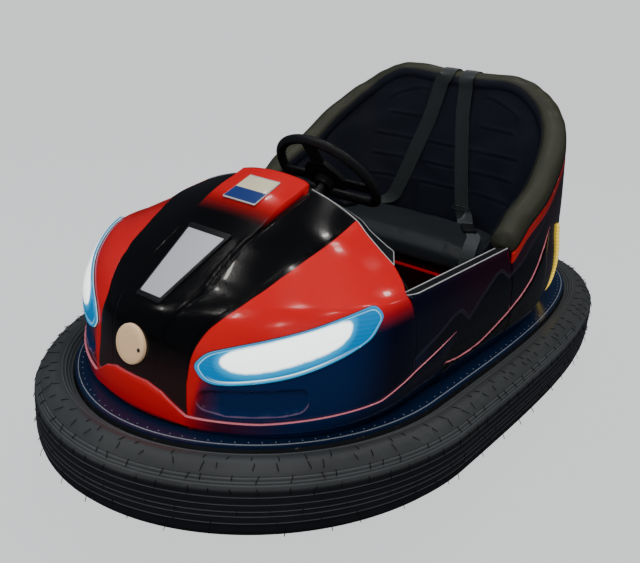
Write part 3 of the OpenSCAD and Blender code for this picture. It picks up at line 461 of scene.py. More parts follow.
def joined(*parts):
    whole = parts[0]
    for other in parts[1:]:
        mesh = bpy.data.meshes.new("part")
        other.to_mesh(mesh)
        other.free()
        whole.from_mesh(mesh)
        bpy.data.meshes.remove(mesh)
    return whole


def soften(bm, geom, offset, segments=2, affect="EDGES"):
    bmesh.ops.bevel(bm, geom=geom, offset=offset, segments=segments, profile=0.5, affect=affect, material=-1)


def block(size, place, edge):                    # a box with rounded edges
    bm = bmesh.new()
    bmesh.ops.create_cube(bm, size=1)
    bmesh.ops.scale(bm, vec=size, verts=bm.verts)
    soften(bm, bm.edges[:], edge, 3)
    bmesh.ops.translate(bm, vec=place, verts=bm.verts)
    return bm


def extrude(bm, vec):                            # raises a flat face to a plate
    made = bmesh.ops.extrude_face_region(bm, geom=bm.faces[:])
    bmesh.ops.translate(bm, vec=vec, verts=vertsOf(made))
    bmesh.ops.recalc_face_normals(bm, faces=bm.faces)


def vertsOf(made):
    return [part for part in made["geom"] if isinstance(part, bmesh.types.BMVert)]


def spotsOf(mesh):
    spots = np.empty(len(mesh.vertices) * 3)
    mesh.vertices.foreach_get("co", spots)
    return spots.reshape(-1, 3)


def unit(rows):                                  # each row brought to length 1
    return rows / np.maximum(np.linalg.norm(rows, axis=1), 1e-12)[:, None]


def lengthAlong(points):                         # running length along a line of points
    return np.concatenate([[0], np.cumsum(np.linalg.norm(np.diff(points, axis=0), axis=1))])


def hill(x, width):                              # smooth bump of height 1 at zero
    return np.exp(-(x / width) ** 2)


def curveAt(keys, values, x):                    # smooth curve through a short table
    keys, values = np.asarray(keys, float), np.asarray(values, float)
    x = np.clip(np.asarray(x, float), keys[0], keys[-1])
    i = np.clip(np.searchsorted(keys, x, side="right") - 1, 0, len(keys) - 2)
    before, after = np.maximum(i - 1, 0), np.minimum(i + 2, len(keys) - 1)
    span = keys[i + 1] - keys[i]
    riseA = (values[i + 1] - values[before]) / (keys[i + 1] - keys[before]) * span
    riseB = (values[after] - values[i]) / (keys[after] - keys[i]) * span
    f = (x - keys[i]) / span
    return (values[i] * (2 * f**3 - 3 * f * f + 1) + riseA * (f**3 - 2 * f * f + f)
            + values[i + 1] * (3 * f * f - 2 * f**3) + riseB * (f**3 - f * f))


def ease(x, low, high):
    f = np.clip((x - low) / (high - low), 0, 1)
    return f * f * (3 - 2 * f)


def blend(a, b, f):
    return a * (1 - f) + b * f


def outwardOf(shape, a, b, centre=(0, 0, 0.3)):  # unit normals of a formula surface
    step = 1e-4
    alongA = shape(np.minimum(a + step, 1), b) - shape(np.maximum(a - step, 0), b)
    alongB = shape(a, np.minimum(b + step, 1)) - shape(a, np.maximum(b - step, 0))
    n = unit(np.cross(alongA, alongB))
    side = np.sign(np.sum(n * (shape(a, b) - np.asarray(centre)), axis=1))
    return n * np.where(side == 0, 1, side)[:, None]


def lineDistance(y, z, points):                  # distance to a bent line, positive above it
    best = np.full(len(y), 9.0)
    sign = np.ones(len(y))
    for (y0, z0), (y1, z1) in zip(points[:-1], points[1:]):
        dy, dz = y1 - y0, z1 - z0
        f = np.clip(((y - y0) * dy + (z - z0) * dz) / (dy * dy + dz * dz), 0, 1)
        away = np.hypot(y - y0 - f * dy, z - z0 - f * dz)
        near = away < best
        best = np.where(near, away, best)
        sign = np.where(near, np.sign((z - z0) * dy - (y - y0) * dz), sign)
    return best * np.where(sign == 0, 1, sign)


# the body's shape, as the frame has it

body = {
    "front": np.array([                          # yc, zc, xb, yb, zb, xr, yr
        [-.822, .275, .150, -.796, .275, .430, -.410], [-.827, .330, .147, -.799, .330, .457, -.410],
        [-.822, .390, .143, -.795, .390, .465, -.410], [-.813, .462, .144, -.787, .452, .462, -.410],
        [-.795, .503, .149, -.764, .492, .456, -.410], [-.760, .532, .165, -.737, .520, .450, -.410],
        [-.715, .558, .185, -.698, .546, .439, -.410], [-.692, .572, .194, -.672, .560, .424, -.410],
        [-.670, .586, .205, -.644, .575, .396, -.385], [-.620, .617, .216, -.594, .598, .358, -.366],
        [-.565, .648, .228, -.543, .621, .316, -.361], [-.475, .686, .245, -.462, .651, .272, -.360],
        [-.357, .728, .239, -.357, .674, .241, -.357]]),
    "rear": np.array([                           # z, half width, length behind the sides, roundness
        [.275, .430, .685, 2.45], [.330, .457, .702, 2.52], [.390, .465, .698, 2.60],
        [.452, .462, .684, 2.74],
        [.520, .453, .659, 2.90], [.600, .451, .630, 3.0], [.750, .446, .565, 3.23], [.850, .442, .525, 3.46],
        [.920, .440, .495, 3.46], [.960, .440, .480, 3.46]]),
    "rim": np.array([[0, .565], [2.7, .614], [10.4, .6633], [19.5, .727], [29.2, .7726], [39.5, .8112],
                     [48.7, .8376], [55.1, .8575], [63, .8802], [72.3, .9034], [80, .9095], [90, .9015]]),
    "rearY": 0.070, "frontY": -0.410, "sill": (0.437, 0.557), "rollHalf": 0.038, "rollRise": 0.0325}


frontCentre, rearCentre = (0, -0.35, 0.35), (0, 0.2, 0.5)  # the shell's outer side faces away from these


def oval(t, a, b, n, depth=0.0):                 # rounded outline, and places that lie depth inside it
    c, d = np.cos(t), np.sin(t)
    x = a * np.sign(c) * np.maximum(np.abs(c), 1e-9) ** (2 / n)
    y = b * np.sign(d) * np.maximum(np.abs(d), 1e-9) ** (2 / n)
    nx = np.sign(x) * (np.abs(x) / a) ** (n - 1) / a
    ny = np.sign(y) * (np.abs(y) / b) ** (n - 1) / b
    long = np.hypot(nx, ny)
    return x - depth * nx / long, y - depth * ny / long


def station(s):
    keys = np.arange(len(body["front"]))
    return [curveAt(keys, body["front"][:, k], s) for k in range(7)]


def hoodPoint(s, p):
    yc, zc, xb, yb, zb, xr, yr = station(s)
    return np.stack([p * xb, blend(yc, yb, p * p), blend(zc, zb, p * p)], -1)


def fenderPoint(s, u, side=1):
    yc, zc, xb, yb, zb, xr, yr = station(s)
    end = np.arccos(np.minimum(xb / xr, 0.9995))
    reach = (yr - yb) / np.sin(end)
    return np.stack([side * xr * np.cos(u * end), yr - reach * np.sin(u * end), zb + 0 * u], -1)


fineS = np.linspace(0, 12, 2401)
fineZ = station(fineS)[4]


def stationOf(z):
    return np.interp(z, fineZ, fineS)


def rearPoint(t, z, depth=0.0):
    rows = body["rear"]
    a = curveAt(rows[:, 0], rows[:, 1], z)
    b = curveAt(rows[:, 0], rows[:, 2], z)
    n = np.interp(z, rows[:, 0], rows[:, 3])
    x, y = oval(t, a, b, n, depth)
    return np.stack([x, body["rearY"] + y, z + 0 * x], -1)


def rimZ(t):
    angle = np.degrees(t)
    return curveAt(body["rim"][:, 0], body["rim"][:, 1], np.where(angle > 90, 180 - angle, angle))


rimTable = np.linspace(0, pi, 721)
rimLine = rearPoint(rimTable, rimZ(rimTable), body["rollHalf"])
rimStep = np.gradient(rimLine, axis=0)
rimSteep = np.linalg.norm(rimStep, axis=1) / np.maximum(np.hypot(rimStep[:, 0], rimStep[:, 1]), 1e-9)


def underRim(t, depth):                          # height of the roll's underside, depth inside the outline
    steep = np.interp(t, rimTable, rimSteep)
    share = (depth - body["rollHalf"]) / body["rollHalf"]
    return rimZ(t) - 0.005 - steep * body["rollRise"] * np.sqrt(np.maximum(0, 1 - share ** 2))


# angles spread evenly along the rear body's outline
outline = rearPoint(rimTable, 0.5)
outlineRun = lengthAlong(outline)
outlineRun /= outlineRun[-1]


def angleAt(f):
    return np.interp(f, outlineRun, rimTable)


print("body shape ready")


# bumper ring

tyre = {"middle": -0.317, "half": 0.579, "length": 1.950, "frontN": 1.96, "rearN": 3.32,
        "grooves": (0.2155, 0.197, 0.181, 0.169, 0.152), "around": 260}


def ringPoint(t, depth, z):
    front = np.sin(t) < 0
    n = np.where(front, tyre["frontN"], tyre["rearN"])
    b = tyre["length"] / 2 + np.where(front, tyre["middle"], -tyre["middle"])
    x, y = oval(t, tyre["half"], b, n, depth)
    return np.stack([x, tyre["middle"] + y, z + 0 * x], -1)


ringTable = np.linspace(0, 2 * pi, 2881)
ringLine = ringPoint(ringTable, 0.03, 0.2)
ringRun = lengthAlong(ringLine)
ringLength = ringRun[-1]


def ringAngle(f):
    return np.interp(f * ringLength, ringRun, ringTable)


def tyreProfile():
    corners = [(.095, .134), (.0952, .190), (.095, .250), (.0915, .2585), (.080, .2675), (.070, .2745),
               (.058, .2785),
               (.046, .2795), (.034, .2745), (.022, .2655), (.0145, .2575), (.0100, .2510), (.0052, .2440),
               (.0022, .2385),
               (.0004, .2355), (.0, .2320), (.0, .190), (.0, .152), (.0012, .140), (.0045, .1285),
               (.018, .113),
               (.042, .1055), (.068, .1085), (.090, .1205), (.095, .134)]
    run = np.concatenate([[0], np.cumsum([np.hypot(q[0] - p[0], q[1] - p[1]) for p,
                                          q in zip(corners, corners[1:])])])
    depth, high = np.array(corners).T
    stops = []
    for i, (a, b) in enumerate(zip(run, run[1:])):
        fine = 0.0011 if 1 < i < 17 else 0.012
        stops += list(np.linspace(a, b, max(2, int((b - a) / fine) + 1))[:-1])
    stops = np.array(stops)
    d, z = curveAt(run, depth, stops), curveAt(run, high, stops)
    dd, dz = np.gradient(d), np.gradient(z)
    long = np.hypot(dd, dz)
    nd, nz = -dz / long, dd / long               # towards the rubber's outside
    if (nz[np.argmax(z)]) < 0:
        nd, nz = -nd, -nz
    # the second list is the painted highlight on each ridge, a share from 0 to 1
    lift, paler = np.zeros(len(d)), np.zeros(len(d))
    tread = d < 0.004
    for g in tyre["grooves"]:
        lift -= 0.0022 * hill(z - g, 0.0016) * tread
        ridge = hill(z - g - 0.0034, 0.0011) * tread
        lift += 0.0007 * ridge
        paler += 0.55 * ridge
    for r in (0.066, 0.0735, 0.081, 0.088):
        ridge = hill(d - r, 0.0009) * (z > 0.24)
        lift += 0.0013 * ridge
        paler += 0.35 * ridge
    for r in (0.0060, 0.0098, 0.0145):
        ridge = hill(d - r, 0.0006) * (z > 0.235)
        lift -= 0.0009 * ridge
        paler += 0.25 * hill(d - r + 0.0014, 0.0007) * (z > 0.235)
    return d + nd * lift, z + nz * lift, np.clip(paler, 0, 1)


def bumperTyre():
    depth, high, paler = tyreProfile()
    count = len(depth)

    def shape(a, b):
        i = np.rint(b * count).astype(int) % count
        return ringPoint(ringAngle(a % 1.0), depth[i], high[i])
    ridges = {"ridge": lambda a, b: paler[np.rint(b * count).astype(int) % count]}
    bm = patch((tyre["around"], count), shape, ridges, merge=1e-5)
    bmesh.ops.recalc_face_normals(bm, faces=bm.faces)
    return link(bm, "bumperTyre", skin["tyre"], 50, stands=["bumper_tyre"])


def beadRing():                                  # thin bead and studs on the apron beside the tyre, pale grey as a painted highlight along the tyre's bead
    turn = ringAngle(np.linspace(0, 1, 361)[:-1])
    bead = wires([ringPoint(turn, 0.1035, 0.2752)], 0.0014, 1, True)
    link(bead, "apronBead", skin["studs"], 0)
    studs = []
    for spot in ringPoint(ringAngle((np.arange(150) + 0.5) / 150), 0.1135, 0.2748):
        stud = bmesh.new()
        bmesh.ops.create_icosphere(stud, subdivisions=1, radius=0.0017)
        bmesh.ops.scale(stud, vec=(1, 1, 0.7), verts=stud.verts)
        bmesh.ops.translate(stud, vec=spot, verts=stud.verts)
        studs.append(stud)
    link(joined(*studs), "apronStuds", skin["studs"], 0)


def tyreHairs():
    rng = random.Random(7)                       # rows: depth, height, count, length in mm, lean out and up
    rows = [(0.0018, 0.2385, 96, 17, 0.25, -0.95), (0.0165, 0.2600, 96, 15, 0.62, -0.72),
            (0.036, 0.2760, 92, 18, 0.90, -0.38), (0.055, 0.2792, 84, 17, 0.99, 0.04),
            (0.0, 0.186, 60, 9, 0.35, -0.9), (0.0, 0.160, 50, 10, 0.35, -0.9),
            (0.0, 0.142, 50, 16, 0.35, -0.9)]
    lines = []
    for depth, high, count, size, leanOut, leanUp in rows:
        for k in range(count):
            t = float(ringAngle((k + rng.uniform(-0.32, 0.32)) / count % 1.0))
            reach = size / 1000 * rng.uniform(0.7, 1.25)
            slant = rng.uniform(-0.45, 0.45)
            base = ringPoint(np.array([t]), depth, high)[0]
            away = base - ringPoint(np.array([t]), depth + 0.02, high)[0]
            away /= np.linalg.norm(away)
            along = np.array([-away[1], away[0], 0])
            way = leanOut * away + np.array([0, 0, leanUp]) + slant * along
            off = 0.0011 * (away * (1 - depth * 8) + np.array([0, 0, 1.0 if depth > 0.01 else 0.2]))
            lines.append([base, base + off + way * reach * 0.4, base + off * 1.3 + way * reach])
    link(wires(lines, 0.0010, 0), "tyreHairs", skin["hair"], 0)


bumperTyre()
beadRing()
tyreHairs()
print("bumper ring made")


# front body

intake = {"low": ([.53, .62, .75, .84, .975], [.350, .338, .331, .327, .336]),
          "high": ([.53, .62, .75, .84, .975], [.402, .398, .390, .384, .370]),
          "from": .532, "to": .958, "metres": 0.55, "depth": 0.010, "round": 0.018}


def intakeDistance(u, z):
    low, high = np.interp(u, *intake["low"]), np.interp(u, *intake["high"])
    half = (intake["to"] - intake["from"]) / 2 * intake["metres"]
    along = np.abs(u - (intake["from"] + intake["to"]) / 2) * intake["metres"] - half + intake["round"]
    across = np.abs(z - (low + high) / 2) - (high - low) / 2 + intake["round"]
    outside = np.hypot(np.maximum(along, 0), np.maximum(across, 0))
    return outside + np.minimum(np.maximum(along, across), 0) - intake["round"]


# how far from the front seam the hood's black reaches on the fender, by height: 1 at the seam
seamLine = ([.36, .391, .436, .463, .484, .521, .556, .591, .620, .647, .674],
            [1.02, .996, .990, .982, .976, .970, .966, .956, .930, .906, .86])

panelGap = 0.9965                                # share of a panel that is left beside its seam
sOnFender = np.linspace(0, 12, 601)
fenderRun = lengthAlong(fenderPoint(sOnFender, 0.55))
fenderRun /= fenderRun[-1]


def fender(side, name):
    def plain(a, b):
        s = np.interp(b, fenderRun, sOnFender) * panelGap
        return fenderPoint(s, a, side)

    def shape(a, b):
        spots = plain(a, b)
        out = outwardOf(plain, a, b, frontCentre)
        away = -intakeDistance(a, spots[:, 2])
        pit = ease(away, -0.0008, 0.0052) * intake["depth"] * (1 + 0.35 * ease(a, 0.862, 0.868))
        fold = 0.0014 * hill(away + 0.004, 0.0035)
        pit = pit - 0.0016 * hill(away - 0.0085, 0.0016)
        return spots + out * (fold - pit)[:, None]

    def low(a, b):                               # red above the lamp, dark below it and behind
        z = plain(a, b)[:, 2]
        border = np.interp(a, [0, .12, .243, .36, .48, .61, .75, .88, .94, .97, 1],
                           [.545, .540, .532, .515, .495, .472, .45, .43, .40, .33, .26])
        soft = np.interp(a, [0, .2, .4, .9, 1], [.035, .03, .02, .03, .06])
        return ease(border - z, -soft, soft)

    def seam(a, b):                              # metres past the painted seam, weaker on the far side
        inner = 1 - np.interp(plain(a, b)[:, 2], *seamLine)
        return (a - 1 + inner * (1.0 if side > 0 else 0.12) - 0.002) * 0.5

    # below the intake's middle, where the painted highlight along its edge goes
    def under(a, b):
        middle = (np.interp(a, *intake["low"]) + np.interp(a, *intake["high"])) / 2
        return ease(middle - plain(a, b)[:, 2], 0.004, 0.016)
    marks = {"low": low, "seam": seam, "under": under,
             "rear": lambda a, b: 1 - ease(a, 0.12, 0.42),
             "nose": lambda a, b: ease(a, 0.86, 0.985),
             "brim": lambda a, b: intakeDistance(a, plain(a, b)[:, 2])}
    bm = patch((160, 120), shape, marks, centre=frontCentre)
    return link(bm, name, skin["front"], 0, 0.005,
                ["fender_left" if side > 0 else "fender_right"])


# half width of the hood's raised middle, by station
seamP = ([0, 1.5, 2.8, 3.8, 4.9, 6, 8, 9.3, 10.3, 11, 12],
         [.44, .45, .53, .555, .56, .57, .50, .465, .45, .43, .44])
hoodRun = lengthAlong(hoodPoint(sOnFender, 0 * sOnFender))
hoodRun /= hoodRun[-1]


def hoodPanel():
    def plain(a, b):
        s = np.interp(b, hoodRun, sOnFender)
        return hoodPoint(s, (a * 2 - 1) * panelGap)

    def shape(a, b):
        s = np.interp(b, hoodRun, sOnFender)
        p = np.abs(a * 2 - 1)
        edge = curveAt(*seamP, s)
        wide = station(s)[2]
        gap = (edge - p) * wide                  # metres inside the raised middle
        lift = 0.0042 * ease(gap, -0.002, 0.006) * ease(s, 1.0, 3.0)
        groove = -0.0016 * hill(gap + 0.0035, 0.0016)
        rib = 0.0022 * hill(gap - 0.006, 0.003) * ease(s, 5.0, 7.0)
        return plain(a, b) + outwardOf(plain, a, b, frontCentre) * (lift + groove + rib)[:, None]
    bm = patch((140, 130), shape, centre=frontCentre)
    return link(bm, "hoodPanel", skin["hood"], 0, 0.005, ["hood_panel"])


hump = {"from": 9.9, "rise": 0.0132, "corner": 0.020}


def redHump():
    def shape(a, b):
        s = hump["from"] + (12.02 - hump["from"]) * b
        edge = curveAt(*seamP, s)
        across = a * 2 - 1
        side = np.abs(across)
        inner = np.minimum(side / 0.90, 1)
        p = np.sign(across) * inner * edge * 0.97
        last = (12.02 - s) * 0.098
        pull = hump["corner"] * (np.maximum(0, side - 0.62) / 0.38) ** 2.4
        spots = hoodPoint(np.minimum(s, 12), p)
        rise = hump["rise"] * ease(s, hump["from"], 11.3) + 0.0048
        fall = np.where(side > 0.90, (side - 0.90) / 0.10, 0)
        spots[:, 0] += np.sign(across) * fall * 0.004
        spots[:, 2] += rise * np.sqrt(np.maximum(0, 1 - fall ** 2)) - 0.003 * fall
        spots[:, 1] -= np.where(last < 0.05, pull * (1 - last / 0.05), 0)
        drop = np.maximum(0, 1 - last / 0.012)
        spots[:, 2] -= 0.008 * drop ** 2
        spots[:, 1] += 0.002 * drop
        return spots
    bm = patch((90, 70), shape, centre=(0, -0.45, 0.5))
    rear = [e for e in bm.edges if e.is_boundary and all(v.co.y > -0.39 and v.co.z > 0.70 for v in e.verts)]
    made = bmesh.ops.extrude_edge_only(bm, edges=rear)
    bmesh.ops.translate(bm, vec=(0, 0.001, -0.024), verts=vertsOf(made))
    return link(bm, "redHump", skin["hump"], 35, 0.003, ["binnacle"])


skirt = {"low": .2825, "out": 0.0075, "reach": 2.98,
         "top": ([-3, -2.02, -2, -1.9, -1.8, -1.61, -1.448, -1.294, -1.055, -1.0, -.62, -.35, 0],
                 [.424, .386, .385, .368, .347, .337, .328, .318, .312, .311, .352, .366, .367])}


def bodyAt(w, z):                                # w: 0 nose, 1 hood's edge, 2 fender's rear, 3 side panel
    side, k = np.sign(w), np.abs(w)
    s = stationOf(z)
    onHood = hoodPoint(s, np.minimum(k, 1))
    onFender = fenderPoint(s, np.clip(2 - k, 0, 1))
    half = curveAt(body["front"][:6, 4], body["front"][:6, 5], z)
    onSide = np.stack([half, body["frontY"] + 0.19 * np.maximum(k - 2, 0), z], -1)
    spot = np.where((k <= 1)[:, None], onHood, np.where((k <= 2)[:, None], onFender, onSide))
    spot[:, 0] *= np.where(side == 0, 1, side)
    return spot


def levelOut(spots):                             # level directions away from the front body's middle
    flat = spots - np.array([0, -0.38, 0])
    flat[:, 2] = 0
    return unit(flat)


def chinSkirt():
    def roundAt(a):
        return (a * 2 - 1) * skirt["reach"]

    def shape(a, b):
        w = roundAt(a)
        top = np.interp(-np.abs(w), *skirt["top"])
        low = skirt["low"] + 0.10 * ease(np.abs(w), 2.35, 3.0) + 0.018 * ease(np.abs(w), 1.0, 2.2)
        f = np.clip(b, 0, 1)
        z = blend(low, top, f)
        spot = bodyAt(w, z)
        full = skirt["out"] * (1 - 0.45 * ease(np.abs(w), 1.2, 2.0)) * (1 - 0.75 * ease(np.abs(w), 2.6, 2.98))
        topEdge = np.sqrt(np.maximum(0, 1 - ((f - 0.86) / 0.14) ** 2) * (f > 0.86) + (f <= 0.86))
        under = ease(f, 0, 0.14)
        return spot + levelOut(spot) * (full * topEdge * (0.35 + 0.65 * under) + 0.0006)[:, None]

    def edge(a, b):
        top = np.interp(-np.abs(roundAt(a)), *skirt["top"])
        return (1 - b) * (top - skirt["low"])
    marks = {"edge": edge, "w": lambda a, b: np.abs(roundAt(a))}
    bm = patch((360, 24), shape, marks, centre=(0, -0.35, 0.3))
    return link(bm, "chinSkirt", skin["skirt"], 45, 0.004, ["nose_lip"])


fender(1, "fenderLeft")
fender(-1, "fenderRight")
hoodPanel()
redHump()
chinSkirt()
print("front body made")


# lamps

lamp = {"u": [.255, .29, .36, .48, .61, .75, .88, .935, .965],
        "low": [.527, .500, .479, .452, .427, .408, .396, .402, .420],
        "high": [.545, .555, .553, .540, .519, .495, .471, .457, .437], "metres": 0.60,
        "middle": 0.60, "glass": 0.93,
        "core": [(.884, .446), (.852, .469), (.752, .487), (.624, .512), (.478, .533), (.418, .534),
                 (.402, .511),
                 (.45, .484), (.58, .460), (.722, .436), (.816, .430)]}


def lampSpine(u):                                # height of the lamp's middle line
    return np.interp(u, lamp["u"], (np.array(lamp["low"]) + np.array(lamp["high"])) / 2)


def lampOutline():
    upper = [(u, z) for u, z in zip(lamp["u"], lamp["high"])]
    lower = [(u, z) for u, z in zip(lamp["u"], lamp["low"])][::-1]
    ring = np.array([(0.243, 0.536)] + upper + [(.972, .428)] + lower)
    flat = np.stack([ring[:, 0] * lamp["metres"], ring[:, 1]], -1)
    closed = np.vstack([flat, flat[:1]])
    run = lengthAlong(closed)
    f = np.linspace(0, run[-1], 361)[:-1]
    wrapped = np.vstack([flat[-3:], flat, flat[:4]])
    wrapRun = lengthAlong(wrapped)
    start = wrapRun[3]
    x = curveAt(wrapRun, wrapped[:, 0], f + start)
    y = curveAt(wrapRun, wrapped[:, 1], f + start)
    for _ in range(6):                           # rounds the corners a little
        x = (np.roll(x, 1) + 2 * x + np.roll(x, -1)) / 4
        y = (np.roll(y, 1) + 2 * y + np.roll(y, -1)) / 4
    return np.stack([x / lamp["metres"], y], -1)


lampRing = lampOutline()


def lampFlat(a, rho):                            # place round the fender and height
    i = np.rint(a * 360).astype(int) % 360
    rim = lampRing[i]
    u = blend(lamp["middle"], rim[:, 0], 0.62)
    spine = np.stack([u, lampSpine(u)], -1)
    return spine + (rim - spine) * rho[:, None]


def insideOf(x, y, corners):                     # distance inside a closed outline, negative outside it
    ring = np.array([(u * lamp["metres"], z) for u, z in corners + corners[:1]])
    for _ in range(3):                           # cuts the corners off, so that the outline runs smoothly
        near, far = ring[:-1], ring[1:]
        ring = np.stack([near * 0.75 + far * 0.25, near * 0.25 + far * 0.75], 1).reshape(-1, 2)
        ring = np.vstack([ring, ring[:1]])
    best = np.full(len(x), 9.0)
    inside = np.zeros(len(x), bool)
    for (x0, y0), (x1, y1) in zip(ring[:-1], ring[1:]):
        f = np.clip(((x - x0) * (x1 - x0) + (y - y0) * (y1 - y0)) / ((x1 - x0) ** 2 + (y1 - y0) ** 2), 0, 1)
        best = np.minimum(best, np.hypot(x - x0 - f * (x1 - x0), y - y0 - f * (y1 - y0)))
        crosses = ((y0 > y) != (y1 > y)) & (x < (x1 - x0) * (y - y0) / (y1 - y0 + 1e-12) + x0)
        inside ^= crosses
    return np.where(inside, best, -best)


def lampSpot(a, rho, side, lift):
    flat = lampFlat(a, rho)

    def surface(u, z):
        return fenderPoint(stationOf(z), np.clip(u, 0, 1), side)
    spot = surface(flat[:, 0], flat[:, 1])
    du = surface(flat[:, 0] + 1e-3, flat[:, 1]) - surface(flat[:, 0] - 1e-3, flat[:, 1])
    dz = surface(flat[:, 0], flat[:, 1] + 1e-3) - surface(flat[:, 0], flat[:, 1] - 1e-3)
    n = unit(np.cross(du, dz))
    n *= np.sign(np.sum(n * (spot - np.array(frontCentre)), axis=1))[:, None]
    return spot + n * lift[:, None]


def headLamps():
    def share(b):                                # rings lie closer near the lens's edge
        return np.sin(b * pi / 2)

    def core(a, b):
        flat = lampFlat(a, share(b) * lamp["glass"])
        return insideOf(flat[:, 0] * lamp["metres"], flat[:, 1], lamp["core"])

    def lower(a, b):
        flat = lampFlat(a, share(b) * lamp["glass"])
        span = ease(flat[:, 0], 0.34, 0.56) * (1 - ease(flat[:, 0], 0.80, 0.93))
        return ease(lampSpine(flat[:, 0]) - flat[:, 1], 0.006, 0.020) * span
    marks = {"rho": lambda a, b: share(b), "core": core, "lower": lower}
    lenses, bezels, seals = [], [], []
    for side in (1, -1):
        def lens(a, b):
            crown = 0.0035 + 0.0055 * np.sqrt(np.maximum(0, 1 - share(b) ** 2.2))
            return lampSpot(a, share(b) * lamp["glass"], side, crown)
        lenses.append(patch((180, 24), lens, marks, 2e-5, frontCentre))
        steps = np.array([[0.90, 0.002], [0.915, 0.0052], [0.93, 0.0070], [0.955, 0.0074], [0.98, 0.0062],
                          [1.0, 0.0046], [1.012, 0.0030], [1.018, 0.0005], [1.018, -0.001]])

        def bezel(a, b):
            k = b * (len(steps) - 1)
            return lampSpot(a, np.interp(k, np.arange(len(steps)), steps[:, 0]), side,
                            np.interp(k, np.arange(len(steps)), steps[:, 1]))
        bezels.append(patch((180, len(steps) - 1), bezel, {"rim": lambda a, b: b}, 2e-5, frontCentre))
        a = np.arange(360) / 360
        seals.append(wires([lampSpot(a, np.full(360, 1.024), side, np.full(360, 0.0002))], 0.0015, 1, True))
    link(joined(*lenses), "lampLenses", skin["lamp"], 0, 0.0015, ["lamp_lenses"])
    link(joined(*bezels), "lampBezels", skin["bezel"], 60, 0.0008, ["lamp_bezels"])
    link(joined(*seals), "lampSeals", skin["piping"], 0)


def intakeInserts():                             # smooth floor of the recess
    parts = []
    for side in (1, -1):
        def shape(a, b):
            u = intake["from"] + 0.012 + (intake["to"] - intake["from"] - 0.024) * a
            low, high = np.interp(u, *intake["low"]) + 0.006, np.interp(u, *intake["high"]) - 0.006
            spot = fenderPoint(stationOf(blend(low, high, b)), u, side)
            return spot - 0.0175 * levelOut(spot)
        parts.append(patch((30, 16), shape, None, 0, frontCentre))
    return link(joined(*parts), "intakeInserts", skin["satinBlack"], 0, 0.001, ["intakes"])


headLamps()
intakeInserts()
print("lamps made")


# sides and rear body

lines = {"crease": [(-.30, .30), (-.254, .350), (-.19, .340), (-.129, .339), (-.075, .345), (-.022, .360),
                    (.06, .385),
                    (.141, .415), (.195, .440), (.246, .475), (.29, .515), (.318, .557), (.40, .600),
                    (.60, .66)],
         "zigzag": [(-.538, .389), (-.463, .403), (-.384, .423), (-.300, .445), (-.235, .468), (-.201, .470),
                    (-.163, .438), (-.110, .469), (-.013, .510), (.016, .513), (.054, .485), (.137, .508),
                    (.242, .575), (.30, .62)]}


def ledBack(y, z):                               # metres behind the light strip's middle line
    return (y - (0.60 - (z - 0.27) / 0.28 * 0.17)) * 0.86


def sidePath(f):
    low = np.array([[q[5], q[4]] for q in body["front"][:6]])
    sx, sz = body["sill"]
    ledge = np.array([[.006, -.014], [.0022, -.0035], [-.002, 0], [-.010, -.0015], [-.034, -.0092],
                      [-.0362, -.0120], [-.037, -.032]])
    corners = np.vstack([low, ledge + [sx, sz]])
    run = lengthAlong(corners)
    mix = np.concatenate([np.linspace(0, run[5], 60)[:-1], np.linspace(run[5], run[-1], 31)])
    k = np.interp(f, np.linspace(0, 1, len(mix)), mix)
    return curveAt(run, corners[:, 0], k), curveAt(run, corners[:, 1], k)


def creaseLift(y, z):                            # the side stands out below the crease
    d = lineDistance(y, z, lines["crease"])
    behind = 1 - ease(ledBack(y, z), -0.012, -0.006)
    ahead = ease(y, -0.262, -0.235) * (1 - ease(y, 0.295, 0.33))
    return 0.0055 * ease(-d, 0.0, 0.0045) * behind * ahead


def sidePanel(side, name):
    def shape(a, b):
        x, z = sidePath(b)
        y = blend(-0.4098, 0.0698, a)
        lift = creaseLift(y, z) * (z < 0.53)
        return np.stack([side * (x + lift), y, z], -1)

    def field(key):
        def rule(a, b):
            x, z = sidePath(b)
            return lineDistance(blend(-0.4094, 0.0694, a), z, lines[key])
        return rule
    marks = {"crease": field("crease"), "zigzag": field("zigzag"), "rimDrop": lambda a, b: 0 * a + 0.5}
    bm = patch((110, 80), shape, marks, 0, (0, -0.15, 0.35))
    return link(bm, name, skin["side"], 50, 0.005,
                ["side_left" if side > 0 else "side_right"])


def rearShell():
    def parts(a, b):
        t = angleAt(a)
        top = underRim(t, 0.006) + 0.004
        return t, blend(0.275, top, b)

    def plain(a, b):
        t, z = parts(a, b)
        return rearPoint(t, z)

    def shape(a, b):
        t, z = parts(a, b)
        spot = plain(a, b)
        out = outwardOf(plain, a, b, rearCentre)
        lift = creaseLift(spot[:, 1], z) * (np.abs(spot[:, 0]) > 0.2)
        return spot + out * lift[:, None]

    def field(key):
        def rule(a, b):
            spot = plain(a, b)
            d = lineDistance(spot[:, 1], spot[:, 2], lines[key])
            cut = ledBack(spot[:, 1], spot[:, 2]) > -0.010
            far = (spot[:, 1] > 0.33) if key == "crease" else (spot[:, 1] > 0.29)
            return np.where(cut | far, 0.3, d)
        return rule

    def drop(a, b):
        t, z = parts(a, b)
        return rimZ(t) - z
    marks = {"crease": field("crease"), "zigzag": field("zigzag"), "rimDrop": drop}
    bm = patch((240, 84), shape, marks, 0, rearCentre)
    return link(bm, "rearShell", skin["side"], 50, 0.005, ["rear_body"])


